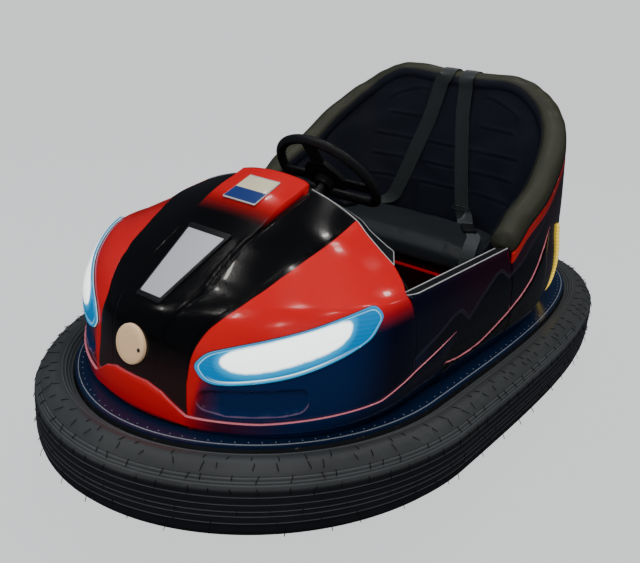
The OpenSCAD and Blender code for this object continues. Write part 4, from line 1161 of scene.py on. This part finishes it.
def tailStrips():
    parts = []
    for side in (1, -1):
        def shape(a, b):
            z = blend(0.288, 0.548, a)
            across = b * 2 - 1
            t = np.radians(np.interp(a, [0, .35, .7, 1], [32.5, 30.5, 27.0, 24.0]) + across * 1.15)
            ends = np.clip(np.minimum(a, 1 - a) * 40, 0, 1) ** 0.5
            spot = rearPoint(t, z, -0.0015 - 0.0065 * np.sqrt(np.maximum(0, 1 - across ** 4)) * ends)
            spot[:, 0] *= side
            return spot
        parts.append(patch((90, 12), shape, None, 0, rearCentre))
    return link(joined(*parts), "tailStrips", skin["tail"], 60, 0.001, ["tail_lights"])


def sillTrim():
    sx, sz = body["sill"]
    beads, plates = [], []
    for side in (1, -1):
        rear, front, middle, half = 0.064, -0.372, sx - 0.0185, 0.0175
        outer = [(side * (sx - 0.001), y, sz + 0.0006) for y in np.linspace(rear, front, 60)]
        turn = [(side * (middle + half * cos(q)), front - 0.026 * sin(q),
                 sz + 0.0006 - half * (1 - cos(q)) * 0.25)
                for q in np.linspace(0.05, pi, 22)]
        inner = [(side * (sx - 0.036), y, sz - 0.0090) for y in np.linspace(front, rear, 60)]
        beads.append(wires([outer + turn + inner], 0.0016, 2))

        def plate(a, b):
            edge = np.minimum(np.minimum(b, 1 - b) * 6, 1)
            y = blend(-0.395, rear, a)
            near = np.clip((y + 0.3975) / 0.026, 0.02, 1)
            across = (b - 0.5) * 0.034 * np.sqrt(near * (2 - near))
            return np.stack([side * (middle + across), y, sz - 0.0046 + across * 0.27 + 0.0012 * edge], -1)
        plates.append(patch((60, 14), plate, None, 0, (0, -0.15, 0.3)))
    link(joined(*beads), "sillBeads", skin["bright"], 0, 0, ["sill_trims"])
    link(joined(*plates), "sillPlates", skin["satinBlack"], 0, 0.002)


sidePanel(1, "sideLeft")
sidePanel(-1, "sideRight")
rearShell()
tailStrips()
sillTrim()
print("sides and rear made")


# padded rim, seat and belts

roll = {"steps": 300, "around": 48}
seat = {"foot": (0.304, 0.379), "round": 3.6, "deck": 0.4023, "top": 0.4783, "front": 0.134,
        "meet": 200, "leave": 153, "flat": 0.86}  # where the backrest meets and leaves the roll, in degrees


def rollAt(t, q, grow=0.0):
    mid = rearPoint(t, rimZ(t), body["rollHalf"]) - np.array([0, 0, 0.005])
    edge = unit(rearPoint(t, rimZ(t)) - rearPoint(t, rimZ(t), body["rollHalf"]))
    steep = np.interp(t, rimTable, rimSteep)
    q = q + 0 * t
    across = (body["rollHalf"] + grow) * np.cos(q)
    high = (body["rollRise"] * steep + grow) * np.sin(q)
    return mid + edge * across[:, None] + np.stack([0 * t, 0 * t, high], -1)


def rollPoint(f, q, grow=0.0):
    return rollAt(angleAt(f), q, grow)


def rimRoll():
    def shape(a, b):
        q = b * 2 * pi
        cap = np.minimum(np.minimum(a, 1 - a) * 130, 1)
        small = np.sqrt(np.maximum(1e-6, 1 - (1 - cap) ** 2))
        seam = radians(seat["leave"])
        pucker = 0.0022 * hill(q - seam, 0.10) + 0.0010 * hill(np.cos(q) - 0.95, 0.04)
        ripple = 0.0007 * np.sin(a * 2 * pi * 21 + 3 * np.sin(a * 19)) * np.maximum(0, np.sin(q))
        skinSpot = rollPoint(a, q, -0.0008)
        t = angleAt(a)
        core = rearPoint(t, rimZ(t), body["rollHalf"]) - np.array([0, 0, 0.005])
        return blend(core, skinSpot, small[:, None]) + unit(skinSpot - core) * (ripple - pucker)[:, None]
    bm = patch((roll["steps"], roll["around"]), shape, None, 1e-5, (0, 0.3, 0.7))
    bmesh.ops.recalc_face_normals(bm, faces=bm.faces)
    piece = link(bm, "rimRoll", skin["roll"], 0, 0, ["rim_pad"])
    f = np.linspace(0.004, 0.996, 300)
    seams = [list(rollPoint(f, radians(q), 0.0002)) for q in (seat["leave"], -14)]
    link(wires(seams, 0.0017, 1), "rollPiping", skin["piping"], 0, 0)


def footPoint(t, depth):                         # the backrest's lower edge, depth outside its outline
    x, y = oval(t, *seat["foot"], seat["round"], -depth)
    return np.stack([x, body["rearY"] + y, seat["deck"] + 0 * x], -1)


def backPoint(t, f, lift=0.0):                   # the backrest's face, from the deck up and onto the roll
    k = np.clip(f / seat["flat"], 0, 1)
    q = np.radians(blend(seat["meet"], seat["leave"], np.clip((f - seat["flat"]) / (1 - seat["flat"]), 0, 1)))
    top = rollAt(t, q, 0.001 + lift)
    foot = footPoint(t, 0.0003 - lift)
    return blend(foot, top, k[:, None])


def backChannels(x, z):                          # sewn channels with the padding swelling above them
    side = np.abs(x)
    dent, swell = 0 * x, 0 * x
    for h in (0.563, 0.6285, 0.6955):
        drop = hill(z - h, 0.0024)
        dent += 0.0034 * drop * (1 - ease(side, 0.066, 0.076))
        dent += 0.0034 * drop * ease(side, 0.108, 0.118) * (1 - ease(side, 0.250, 0.265))
        swell += 0.0022 * hill(z - h - 0.006, 0.005) * (1 - ease(side, 0.25, 0.27))
    arch = 0.859 - 0.30 * np.maximum(0, side - 0.13) ** 1.25 * 2.2
    for h, far in ((0.769, 0.225), (arch, 0.218)):
        drop = hill(z - h, 0.0026)
        dent += 0.0034 * drop * ease(side, 0.100, 0.112) * (1 - ease(side, far - 0.012, far))
        swell += 0.0022 * hill(z - h - 0.006, 0.005) * ease(side, 0.1, 0.12) * (1 - ease(side, 0.22, 0.24))
    rim = 0.0030 * hill(side - 0.228, 0.003) * ease(z, 0.763, 0.778) * (1 - ease(z, 0.811, 0.821))
    seam = 0.0042 * hill(side - 0.090, 0.0040) * (1 - ease(z, 0.84, 0.88))
    return dent + seam + rim - swell


def seatBack():
    def plain(a, b):
        return backPoint(angleAt(0.018 + 0.964 * a), b)

    def shape(a, b):
        spot = plain(a, b)
        inward = -outwardOf(plain, a, b, (0, 0.1, 0.5))
        puff = 0.007 * np.sin(np.clip(b / seat["flat"], 0, 1) * pi) ** 0.6
        x, z = spot[:, 0], spot[:, 2]
        slack = 0.0016 * np.sin(x * 34 + 2.0 * np.sin(z * 21)) * np.sin(z * 26 + x * 9)
        dent = backChannels(x, z)
        depth = (puff - dent + slack - 0.003) * (1 - ease(b, 0.80, 0.90)) + 0.0006
        return spot + inward * depth[:, None]
    bm = patch((252, 102), shape, None, 0, (0, 0.1, 0.5))
    bmesh.ops.reverse_faces(bm, faces=bm.faces)
    piece = link(bm, "seatBack", skin["seat"], 0, 0.018, ["seat_back"])


def seatCushion():
    low, top = seat["deck"] + 0.002, seat["top"] - 0.004

    def shape(a, b):
        t = a * 2 * pi
        front = np.sin(t) < 0
        n = np.where(front, 9.0, 4.2)
        wide, reach, middle = 0.296, 0.146, 0.288
        x, y = oval(t, wide, reach, n)
        turn = b * pi
        k = np.sin(turn) ** 0.42
        z = (low + top) / 2 - (top - low) / 2 * np.sign(np.cos(turn)) * np.abs(np.cos(turn)) ** 0.55
        z = z + 0.004 * ease(z, 0.44, 0.47) * (1 - (x * k / wide) ** 2)
        return np.stack([x * k, middle + y * k, z], -1)
    bm = patch((150, 60), shape, None, 1e-5, (0, 0.29, 0.44))
    bmesh.ops.recalc_face_normals(bm, faces=bm.faces)
    piece = link(bm, "seatCushion", skin["cushion"], 0, 0, ["seat_cushion"])
    inflate(piece, 0.009, seat["deck"] + 0.0004)
    spots = spotsOf(piece.data)                  # a sewn welt along the front and side edges of the top
    edge = np.maximum(np.abs(spots[:, 0]) - 0.262, (0.176 - spots[:, 1]) * 0.9)
    top = ease(spots[:, 2], 0.452, 0.468)
    spots[:, 2] -= top * 0.0028 * hill(edge, 0.0035)
    piece.data.vertices.foreach_set("co", spots.ravel())


def inflate(piece, cap, floor):                  # cloth under pressure fills the pad; no point moves past cap
    mesh = piece.data
    grid = piece.modifiers.new("grid", "REMESH")
    grid.mode, grid.voxel_size = "VOXEL", 0.006
    graph = bpy.context.evaluated_depsgraph_get()
    piece.data = bpy.data.meshes.new_from_object(piece.evaluated_get(graph))
    piece.modifiers.clear()
    bpy.data.meshes.remove(mesh)
    before = spotsOf(piece.data)
    cloth = piece.modifiers.new("cloth", "CLOTH")
    cloth.settings.use_pressure = True
    cloth.settings.uniform_pressure_force = 4
    cloth.settings.effector_weights.gravity = 0
    for step in range(1, 21):
        bpy.context.scene.frame_set(step)
    graph = bpy.context.evaluated_depsgraph_get()
    move = spotsOf(piece.evaluated_get(graph).data) - before
    piece.modifiers.clear()
    bpy.context.scene.frame_set(1)
    long = np.maximum(np.linalg.norm(move, axis=1), 1e-9)[:, None]
    spots = before + move * np.minimum(long, cap) / long
    spots[:, 2] = np.maximum(spots[:, 2], floor)
    piece.data.vertices.foreach_set("co", spots.ravel())
    smooth = piece.modifiers.new("smooth", "SUBSURF")
    smooth.levels = smooth.render_levels = 1
    piece.data.shade_smooth()


beltTable = {"left": [(.98, .030), (.72, .037), (.56, .052), (.40, .068), (.29, .081), (.19, .094),
                      (.155, .102)],
             "right": [(.98, -.044), (.92, -.051), (.76, -.066), (.64, -.080), (.52, -.101), (.40, -.121),
                       (.27, -.143),
                       (.19, -.160)]}


def backAt(x, f, lift):                          # backrest point at a given x
    t = np.linspace(radians(12), radians(168), 900)
    line = backPoint(t, np.full(900, f), lift)
    order = np.argsort(line[:, 0])
    return np.array([x, np.interp(x, line[order, 0], line[order, 1]),
                     np.interp(x, line[order, 0], line[order, 2])])


def ribbon(path, ups, width=0.048, thick=0.0016):
    path, ups = np.asarray(path, float), np.asarray(ups, float)
    run = lengthAlong(path)
    f = np.linspace(0, run[-1], max(20, int(run[-1] / 0.006)))
    mid = np.stack([curveAt(run, path[:, k], f) for k in range(3)], -1)
    up = np.stack([np.interp(f, run, ups[:, k]) for k in range(3)], -1)
    along = unit(np.gradient(mid, axis=0))
    side = unit(np.cross(along, up))
    up = np.cross(side, along)
    count = len(f)

    def shape(a, b):
        i = np.rint(a * (count - 1)).astype(int)
        across = b * 2 - 1
        crown = 0.0006 * np.cos(across * pi / 2)
        return mid[i] + side[i] * (across * width / 2)[:, None] + up[i] * crown[:, None]
    marks = {"across": lambda a, b: (b - 0.5) * width, "along": lambda a, b: a * run[-1]}
    bm = patch((count - 1, 12), shape, marks)
    bmesh.ops.recalc_face_normals(bm, faces=bm.faces)
    bmesh.ops.solidify(bm, geom=bm.faces[:] + bm.verts[:] + bm.edges[:], thickness=thick)
    return bm


def belts():
    t90 = np.array([pi / 2])
    turns = (18, 40, 65, 90, 115, 138)           # degrees round the roll
    for side, rows in beltTable.items():
        f = np.linspace(rows[0][0], rows[-1][0], 30)
        xs = np.interp(-f, [-r[0] for r in rows], [r[1] for r in rows])
        loop = [rollAt(t90, radians(q), 0.0045)[0] + np.array([xs[0], 0, 0]) for q in turns]
        path = loop + [backAt(x, k, 0.0085) for x, k in zip(xs, f)]
        ups = [(0, cos(radians(q)), sin(radians(q))) for q in turns]
        ups += [(-0.1 * np.sign(x), -1, 0.25) for x in xs]
        if side == "left":                       # down onto the cushion, then forward to its front edge
            path += [(.118, .430, .494), (.142, .392, .4855), (.168, .352, .4850)]
            ups += [(0, -0.7, 0.7), (0, -0.2, 1), (0, 0, 1)]
        else:                                    # turns along the joint between cushion and backrest
            path += [(-.176, .425, .4905), (-.196, .385, .4862), (-.214, .340, .4850), (-.228, .300, .4850)]
            ups += [(0, -0.6, 0.8), (0, -0.1, 1), (0, 0, 1), (0, 0, 1)]
        link(ribbon(path, ups), side + "Belt", skin["web"], 60, 0, ["belt_" + side])
    tail = [(.205, .318, .4862), (.226, .292, .4858), (.244, .250, .4856), (.262, .205, .4852),
            (.276, .168, .480),
            (.282, .146, .466), (.284, .1365, .446)]
    ups = [(0, 0, 1)] * 4 + [(0, -.4, 1), (0, -.8, .5), (0, -1, .1)]
    link(ribbon(tail, ups, 0.040), "lapBelt", skin["web"], 60, 0)
    buckle("buckleLeft", (.186, .332, .4915), (.60, -.80, 0))
    buckle("buckleRight", (-.231, .280, .4915), (-.35, -.94, 0))
    slider("beltSlider", backAt(.0935, .195, .0125))


def buckle(name, place, way, size=(.066, .040, .013)):  # case with a push button and a metal tongue
    long, wide, high = size
    way = Vector(way).normalized()
    side = Vector((0, 0, 1)).cross(way).normalized()
    turn = Matrix((way, side, way.cross(side))).transposed().to_4x4()
    parts = [block(size, (0, 0, 0), .004),
             block((long * .28, wide * .62, .004), (long * .30, 0, high * .45), .0012),
             block((long * .36, wide * .82, .003), (-long * .62, 0, -.001), .001)]
    for bm in parts:
        bmesh.ops.transform(bm, matrix=Matrix.Translation(place) @ turn, verts=bm.verts)
    link(joined(*parts[:2]), name, skin["blackPlastic"], 40)
    link(parts[2], name + "Tongue", skin["steel"], 40)


def slider(name, place):                         # metal bar that the webbing runs over
    wide, high = 0.030, 0.006
    loop = [(wide * c, d) for c, d in ((-1, -high), (1, -high), (1, high), (-1, high))]
    tilt = Vector((0, 0.26, 0.966))
    spots = [Vector(place) + Vector((1, 0, 0)) * x + tilt * y for x, y in loop]
    link(wires([spots], 0.0016, 2, True), name, skin["steel"], 0)


rimRoll()
seatBack()
seatCushion()
belts()
print("seat made")


# small front pieces

def noseCap():
    bm = bmesh.new()
    profile = [(0.0, 0.0070), (0.028, 0.0069), (0.0408, 0.0062), (0.0438, 0.0046), (0.045, 0.0020),
               (0.045, -0.004)]
    spots = [bm.verts.new((r, 0, z)) for r, z in profile]
    edges = [bm.edges.new(pair) for pair in zip(spots, spots[1:])]
    bmesh.ops.spin(bm, geom=spots + edges, cent=(0, 0, 0), axis=(0, 0, 1), angle=2 * pi, steps=72,
                   use_merge=True)
    bmesh.ops.remove_doubles(bm, verts=bm.verts, dist=1e-5)
    turn = Matrix.Translation((0, -0.8235, 0.4345)) @ Matrix.Rotation(radians(80), 4, "X")
    bmesh.ops.transform(bm, matrix=turn, verts=bm.verts)
    faceOutward(bm, Vector((0, -0.6, 0.4)))
    link(bm, "noseCap", skin["cap"], 50, 0, ["nose_cap"])
    screw = bmesh.new()
    bmesh.ops.create_cone(screw, cap_ends=True, segments=20, radius1=0.0048, radius2=0.0040, depth=0.0016)
    soften(screw, [e for e in screw.edges if e.calc_face_angle(0) > 1], 0.0005)
    bmesh.ops.transform(screw, matrix=turn @ Matrix.Translation((0.033, -0.003, 0.0072)), verts=screw.verts)
    link(screw, "capScrew", skin["steel"], 40)


def slopedPlate(name, front, rear, frontHalf, rearHalf, thick, material, stands, edge, rounding):
    bm = bmesh.new()
    front, rear = Vector(front), Vector(rear)
    up = (rear - front).cross(Vector((-1, 0, 0))).normalized()
    corners = [bm.verts.new(end + Vector((half, 0, 0)))
               for end, half in ((front, -frontHalf), (front, frontHalf), (rear, rearHalf),
                                 (rear, -rearHalf))]
    bm.faces.new(corners)
    soften(bm, corners, rounding, 5, "VERTICES")
    extrude(bm, up * thick)
    top = [e for e in bm.edges if all((v.co - front).dot(up) > thick * 0.9 for v in e.verts)]
    soften(bm, top, edge)
    return link(bm, name, material, 35, 0, stands)


def hoodSpot(s, p, lift):
    spot = hoodPoint(np.array([s]), np.array([p]))[0]
    return spot + lift * np.array([0, -0.41, 0.91])


def hoodPlates():
    slopedPlate("badgeFrame", hoodSpot(4.62, 0, .0032), hoodSpot(9.72, 0, .0032), .0375, .0655, .0045,
                skin["satinBlack"], [], 0.002, 0.005)
    slopedPlate("badgePlate", hoodSpot(4.88, 0, .0062), hoodSpot(9.42, 0, .0062), .0315, .0565, .0028,
                skin["badge"], ["badge_plate"], 0.0006, 0.002)
    slopedPlate("numberFrame", hoodSpot(10.82, 0, .0155), hoodSpot(11.66, 0, .0178), .0515, .0485, .0022,
                skin["bright"], [], 0.0006, 0.003)
    slopedPlate("numberPlate", hoodSpot(10.86, 0, .0175), hoodSpot(11.62, 0, .0198), .0490, .0462, .0012,
                skin["number"], ["number_plate"], 0.0003, 0.002)


# rows: station or share of the hood's half width, then the reach in x, y and z
lip = {"ends": [(9, -.045, .066, .006), (10, -.036, .060, -.002), (11, -.028, .054, -.010)],
       "middle": [(1, -.020, .050, -.015), (.67, -.008, .050, -.024), (.33, -.003, .050, -.028),
                  (0, 0, .050, -.028)]}


def lipLine():                                   # the lip's root and reach, from left to right
    rows = [(fenderPoint(np.array([float(r[0])]), np.array([0.0]))[0], r[1:]) for r in lip["ends"]]
    rows += [(hoodPoint(np.array([12.0]), np.array([float(r[0])]))[0], r[1:]) for r in lip["middle"]]
    half = np.array([[*root, *reach] for root, reach in rows])
    other = half[::-1][1:] * np.array([-1, 1, 1, -1, 1, 1])
    full = np.vstack([half, other])
    run = lengthAlong(full[:, :3])
    return run / run[-1], full


def dashLip():
    run, full = lipLine()

    def shape(a, b):
        row = np.stack([curveAt(run, full[:, k], a) for k in range(6)], -1)
        edge = np.clip(np.minimum(b, 1 - b) / 0.06, 0, 1)
        spot = row[:, :3] + row[:, 3:] * b[:, None]
        spot[:, 1] += 0.0006
        spot[:, 2] += -0.0014 * (1 - edge) ** 2 + 0.0004
        return spot
    bm = patch((180, 14), shape, None, 0, (0, -0.4, 0.3))
    link(bm, "dashLip", skin["satinBlack"], 40, 0.004, ["dash_lip"])
    a = np.linspace(0, 1, 240)
    inner = list(shape(a, np.full(240, 1.0)))
    ends = [list(shape(np.full(12, k), np.linspace(0.04, 0.98, 12))) for k in (0.0, 1.0)]
    root = list(shape(a, np.full(240, 0.0)) + np.array([0, 0.0004, 0.0010]))
    # the bright beads along the lip's edges are a painted highlight on those edges
    beads = wires([ends[0] + inner + ends[1][::-1], root], 0.0013, 1)
    link(beads, "dashBeads", skin["bright"], 0, 0)


noseCap()
hoodPlates()
dashLip()
print("front pieces made")


# steering wheel

wheel = {"centre": (0, -0.155, 0.693), "lean": 49.5, "radius": 0.1465, "tube": 0.0130, "flat": 0.066,
         "corner": 0.030}


def onColumn(spots):
    lean = radians(wheel["lean"])
    x, y, z = spots[:, 0], spots[:, 1], spots[:, 2]
    turned = np.stack([x, y * cos(lean) + z * sin(lean), -y * sin(lean) + z * cos(lean)], -1)
    return turned + np.array(wheel["centre"])


def wheelLine():
    r, flat, c = wheel["radius"], wheel["flat"], wheel["corner"]
    cx = ((r - c) ** 2 - (flat - c) ** 2) ** 0.5
    a0 = np.arctan2(flat - c, cx)
    half = [(r * cos(a), r * sin(a)) for a in np.linspace(-pi / 2, a0, 60)]
    half += [(cx + c * cos(a), flat - c + c * sin(a)) for a in np.linspace(a0, pi / 2, 22)[1:]]
    half += [(x, flat) for x in np.linspace(cx, 0, 14)[1:]]
    return np.array(half + [(-x, y) for x, y in half[-2:0:-1]])


def steeringWheel():
    ring = wheelLine()
    count = len(ring)
    along = unit(np.roll(ring, -1, 0) - np.roll(ring, 1, 0))
    out = np.stack([along[:, 1], -along[:, 0]], -1)

    def rim(a, b):
        i = np.rint(a * count).astype(int) % count
        q = b * 2 * pi
        r = wheel["tube"] * (1 + 0.02 * np.cos(4 * q))
        flat = ring[i] + out[i] * (r * np.cos(q))[:, None]
        return onColumn(np.stack([flat[:, 0], flat[:, 1], r * np.sin(q)], -1))
    parts = [patch((count, 28), rim, None, 1e-6, wheel["centre"])]
    pad = bmesh.new()
    outlinePad = [(.050, .024), (.062, .018), (.067, .002), (.064, -.018), (.052, -.044), (.034, -.064),
                  (.024, -.074)]
    both = outlinePad + [(-x, y) for x, y in outlinePad[::-1]]
    pad.faces.new([pad.verts.new((x, y, -0.012)) for x, y in both])
    extrude(pad, (0, 0, 0.014))
    soften(pad, [e for e in pad.edges if all(v.co.z > 0 for v in e.verts)], 0.006, 4)
    parts.append(pad)
    for x, y, wide, long in ((-.0965, 0, .083, .034), (.0965, 0, .083, .034), (0, -.099, .044, .078)):
        parts.append(block((wide, long, 0.010), (x, y, -0.0045), 0.004))
    hub = bmesh.new()
    bmesh.ops.create_cone(hub, cap_ends=True, segments=40, radius1=0.026, radius2=0.030, depth=0.020)
    bmesh.ops.translate(hub, vec=(0, 0, -0.020), verts=hub.verts)
    parts.append(hub)
    for bm in parts[1:]:
        spots = onColumn(np.array([v.co[:] for v in bm.verts]))
        for v, spot in zip(bm.verts, spots):
            v.co = spot
        bmesh.ops.recalc_face_normals(bm, faces=bm.faces)
    bmesh.ops.recalc_face_normals(parts[0], faces=parts[0].faces)
    link(joined(*parts), "steeringWheel", skin["blackPlastic"], 40, 0, ["steering_wheel"],
         "steering")


steeringWheel()
print("steering wheel made")


# finishes of the frame's own pieces

finishes = {
    "bumper_band": "frameSteel", "apron": "apron", "chassis_frame": "frameSteel", "floor_pan": "liner",
    "cockpit_liner": "liner", "dash_panel": "liner", "seat_box": "redInside", "pedal": "steel",
    "column_tube": "frameSteel", "steering_shaft": "steel", "swivel_ring": "frameSteel",
    "drive_fork": "frameSteel",
    "drive_motor": "motor", "drive_wheel": "wheel", "drive_cover": "liner", "rear_axle": "frameSteel",
    "rear_wheel_left": "wheel", "rear_wheel_right": "wheel", "battery": "battery"}
for name, finish in finishes.items():
    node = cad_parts[name]
    node.data.materials.clear()
    node.data.materials.append(skin[finish])
print("frame pieces finished:", len(finishes))


# floor and lights

stage = {"floor": (0.30, 0.31, 0.33), "dark": (0.035, 0.037, 0.045), "back": (1.22, 1.24, 1.26), "even": 0.76,
         "sky": (0.99, 1.01, 1.03), "room": (0.030, 0.034, 0.042), "ambient": (0.34, 0.35, 0.37)}


def backdrop():
    bm = bmesh.new()
    bmesh.ops.create_grid(bm, x_segments=2, y_segments=2, size=90)
    mesh = bpy.data.meshes.new("floor")
    bm.to_mesh(mesh)
    bm.free()
    floor = bpy.data.objects.new("floor", mesh)
    bpy.context.collection.objects.link(floor)
    f = Finish("paleFloor", Roughness=0.8)
    cloud = f.noise(1.3, 4)
    pale = f.mix(cloud, stage["floor"], toned(stage["floor"], 1.05))
    mirrored = Signal(f, f.tree.nodes.new("ShaderNodeLightPath").outputs["Is Glossy Ray"])
    f.set("Base Color", f.mix(mirrored, pale, stage["dark"]))
    glow = f.tree.nodes.new("ShaderNodeEmission")
    glow.inputs["Color"].default_value = (*stage["back"], 1)
    seen = Signal(f, f.tree.nodes.new("ShaderNodeLightPath").outputs["Is Camera Ray"])
    both = f.node("MixShader", {}, {0: seen * stage["even"]})
    f.tree.links.new(f.shader.outputs[0], both.socket.node.inputs[1])
    f.tree.links.new(glow.outputs[0], both.socket.node.inputs[2])
    f.tree.links.new(both.socket, f.tree.nodes["Material Output"].inputs["Surface"])
    mesh.materials.append(f.material)


def sky():
    world = bpy.data.worlds.new("studio")
    bpy.context.scene.world = world
    world.use_nodes = True
    tree = world.node_tree
    back = tree.nodes["Background"]
    path = tree.nodes.new("ShaderNodeLightPath")
    colour = stage["ambient"]
    for ray, tone in (("Is Glossy Ray", stage["room"]), ("Is Camera Ray", stage["sky"])):
        mix = tree.nodes.new("ShaderNodeMix")
        mix.data_type = "RGBA"
        tree.links.new(path.outputs[ray], mix.inputs[0])
        if isinstance(colour, tuple):
            mix.inputs[6].default_value = (*colour, 1)
        else:
            tree.links.new(colour, mix.inputs[6])
        mix.inputs[7].default_value = (*tone, 1)
        colour = mix.outputs[2]
    tree.links.new(colour, back.inputs["Color"])


def softbox(name, place, aim, size, power, colour, mirrored=False):
    data = bpy.data.lights.new(name, "AREA")
    data.shape, data.size, data.size_y = "RECTANGLE", size[0], size[1]
    data.energy, data.color = power, colour
    box = bpy.data.objects.new(name, data)
    bpy.context.collection.objects.link(box)
    turn = (Vector(aim) - Vector(place)).to_track_quat("-Z", "Y").to_matrix().to_4x4()
    box.matrix_world = Matrix.Translation(place) @ turn
    box.visible_glossy = mirrored


backdrop()
sky()
for row in (("keyBox", (1.9, -2.6, 3.0), (0, -0.1, 0.4), (1.6, 1.6), 62, (1, 1, 1)),
            ("overBox", (0.2, 0.3, 3.6), (0, 0, 0.4), (2.2, 1.2), 46, (1, 1, 1)),
            ("fillBox", (-2.8, -1.2, 2.2), (0, 0, 0.4), (1.6, 2.0), 30, (0.62, 0.80, 1.0)),
            ("noseBox", (-0.9, -3.4, 1.1), (0, -0.6, 0.3), (1.4, 0.8), 14, (1.0, 0.94, 0.88)),
            ("rimBox", (1.6, 2.6, 2.6), (0, 0.2, 0.5), (1.8, 1.2), 30, (1, 1, 1))):
    softbox(*row)
for k, (x, y) in enumerate([(-1.9, -2.2), (-0.5, -2.0), (0.9, -2.3), (-1.3, -0.9), (0.1, -0.7), (1.5, -1.0),
                            (-1.8, 0.5), (-0.4, 0.8), (1.1, 0.6), (0.3, 2.1), (1.9, 2.0), (-1.2, 2.2)]):
    softbox("ceilingLamp%d" % k, (x, y, 3.4), (x, y, 0), (0.07, 0.30), 2.6, (1.0, 0.97, 0.92), True)

print("stage ready")
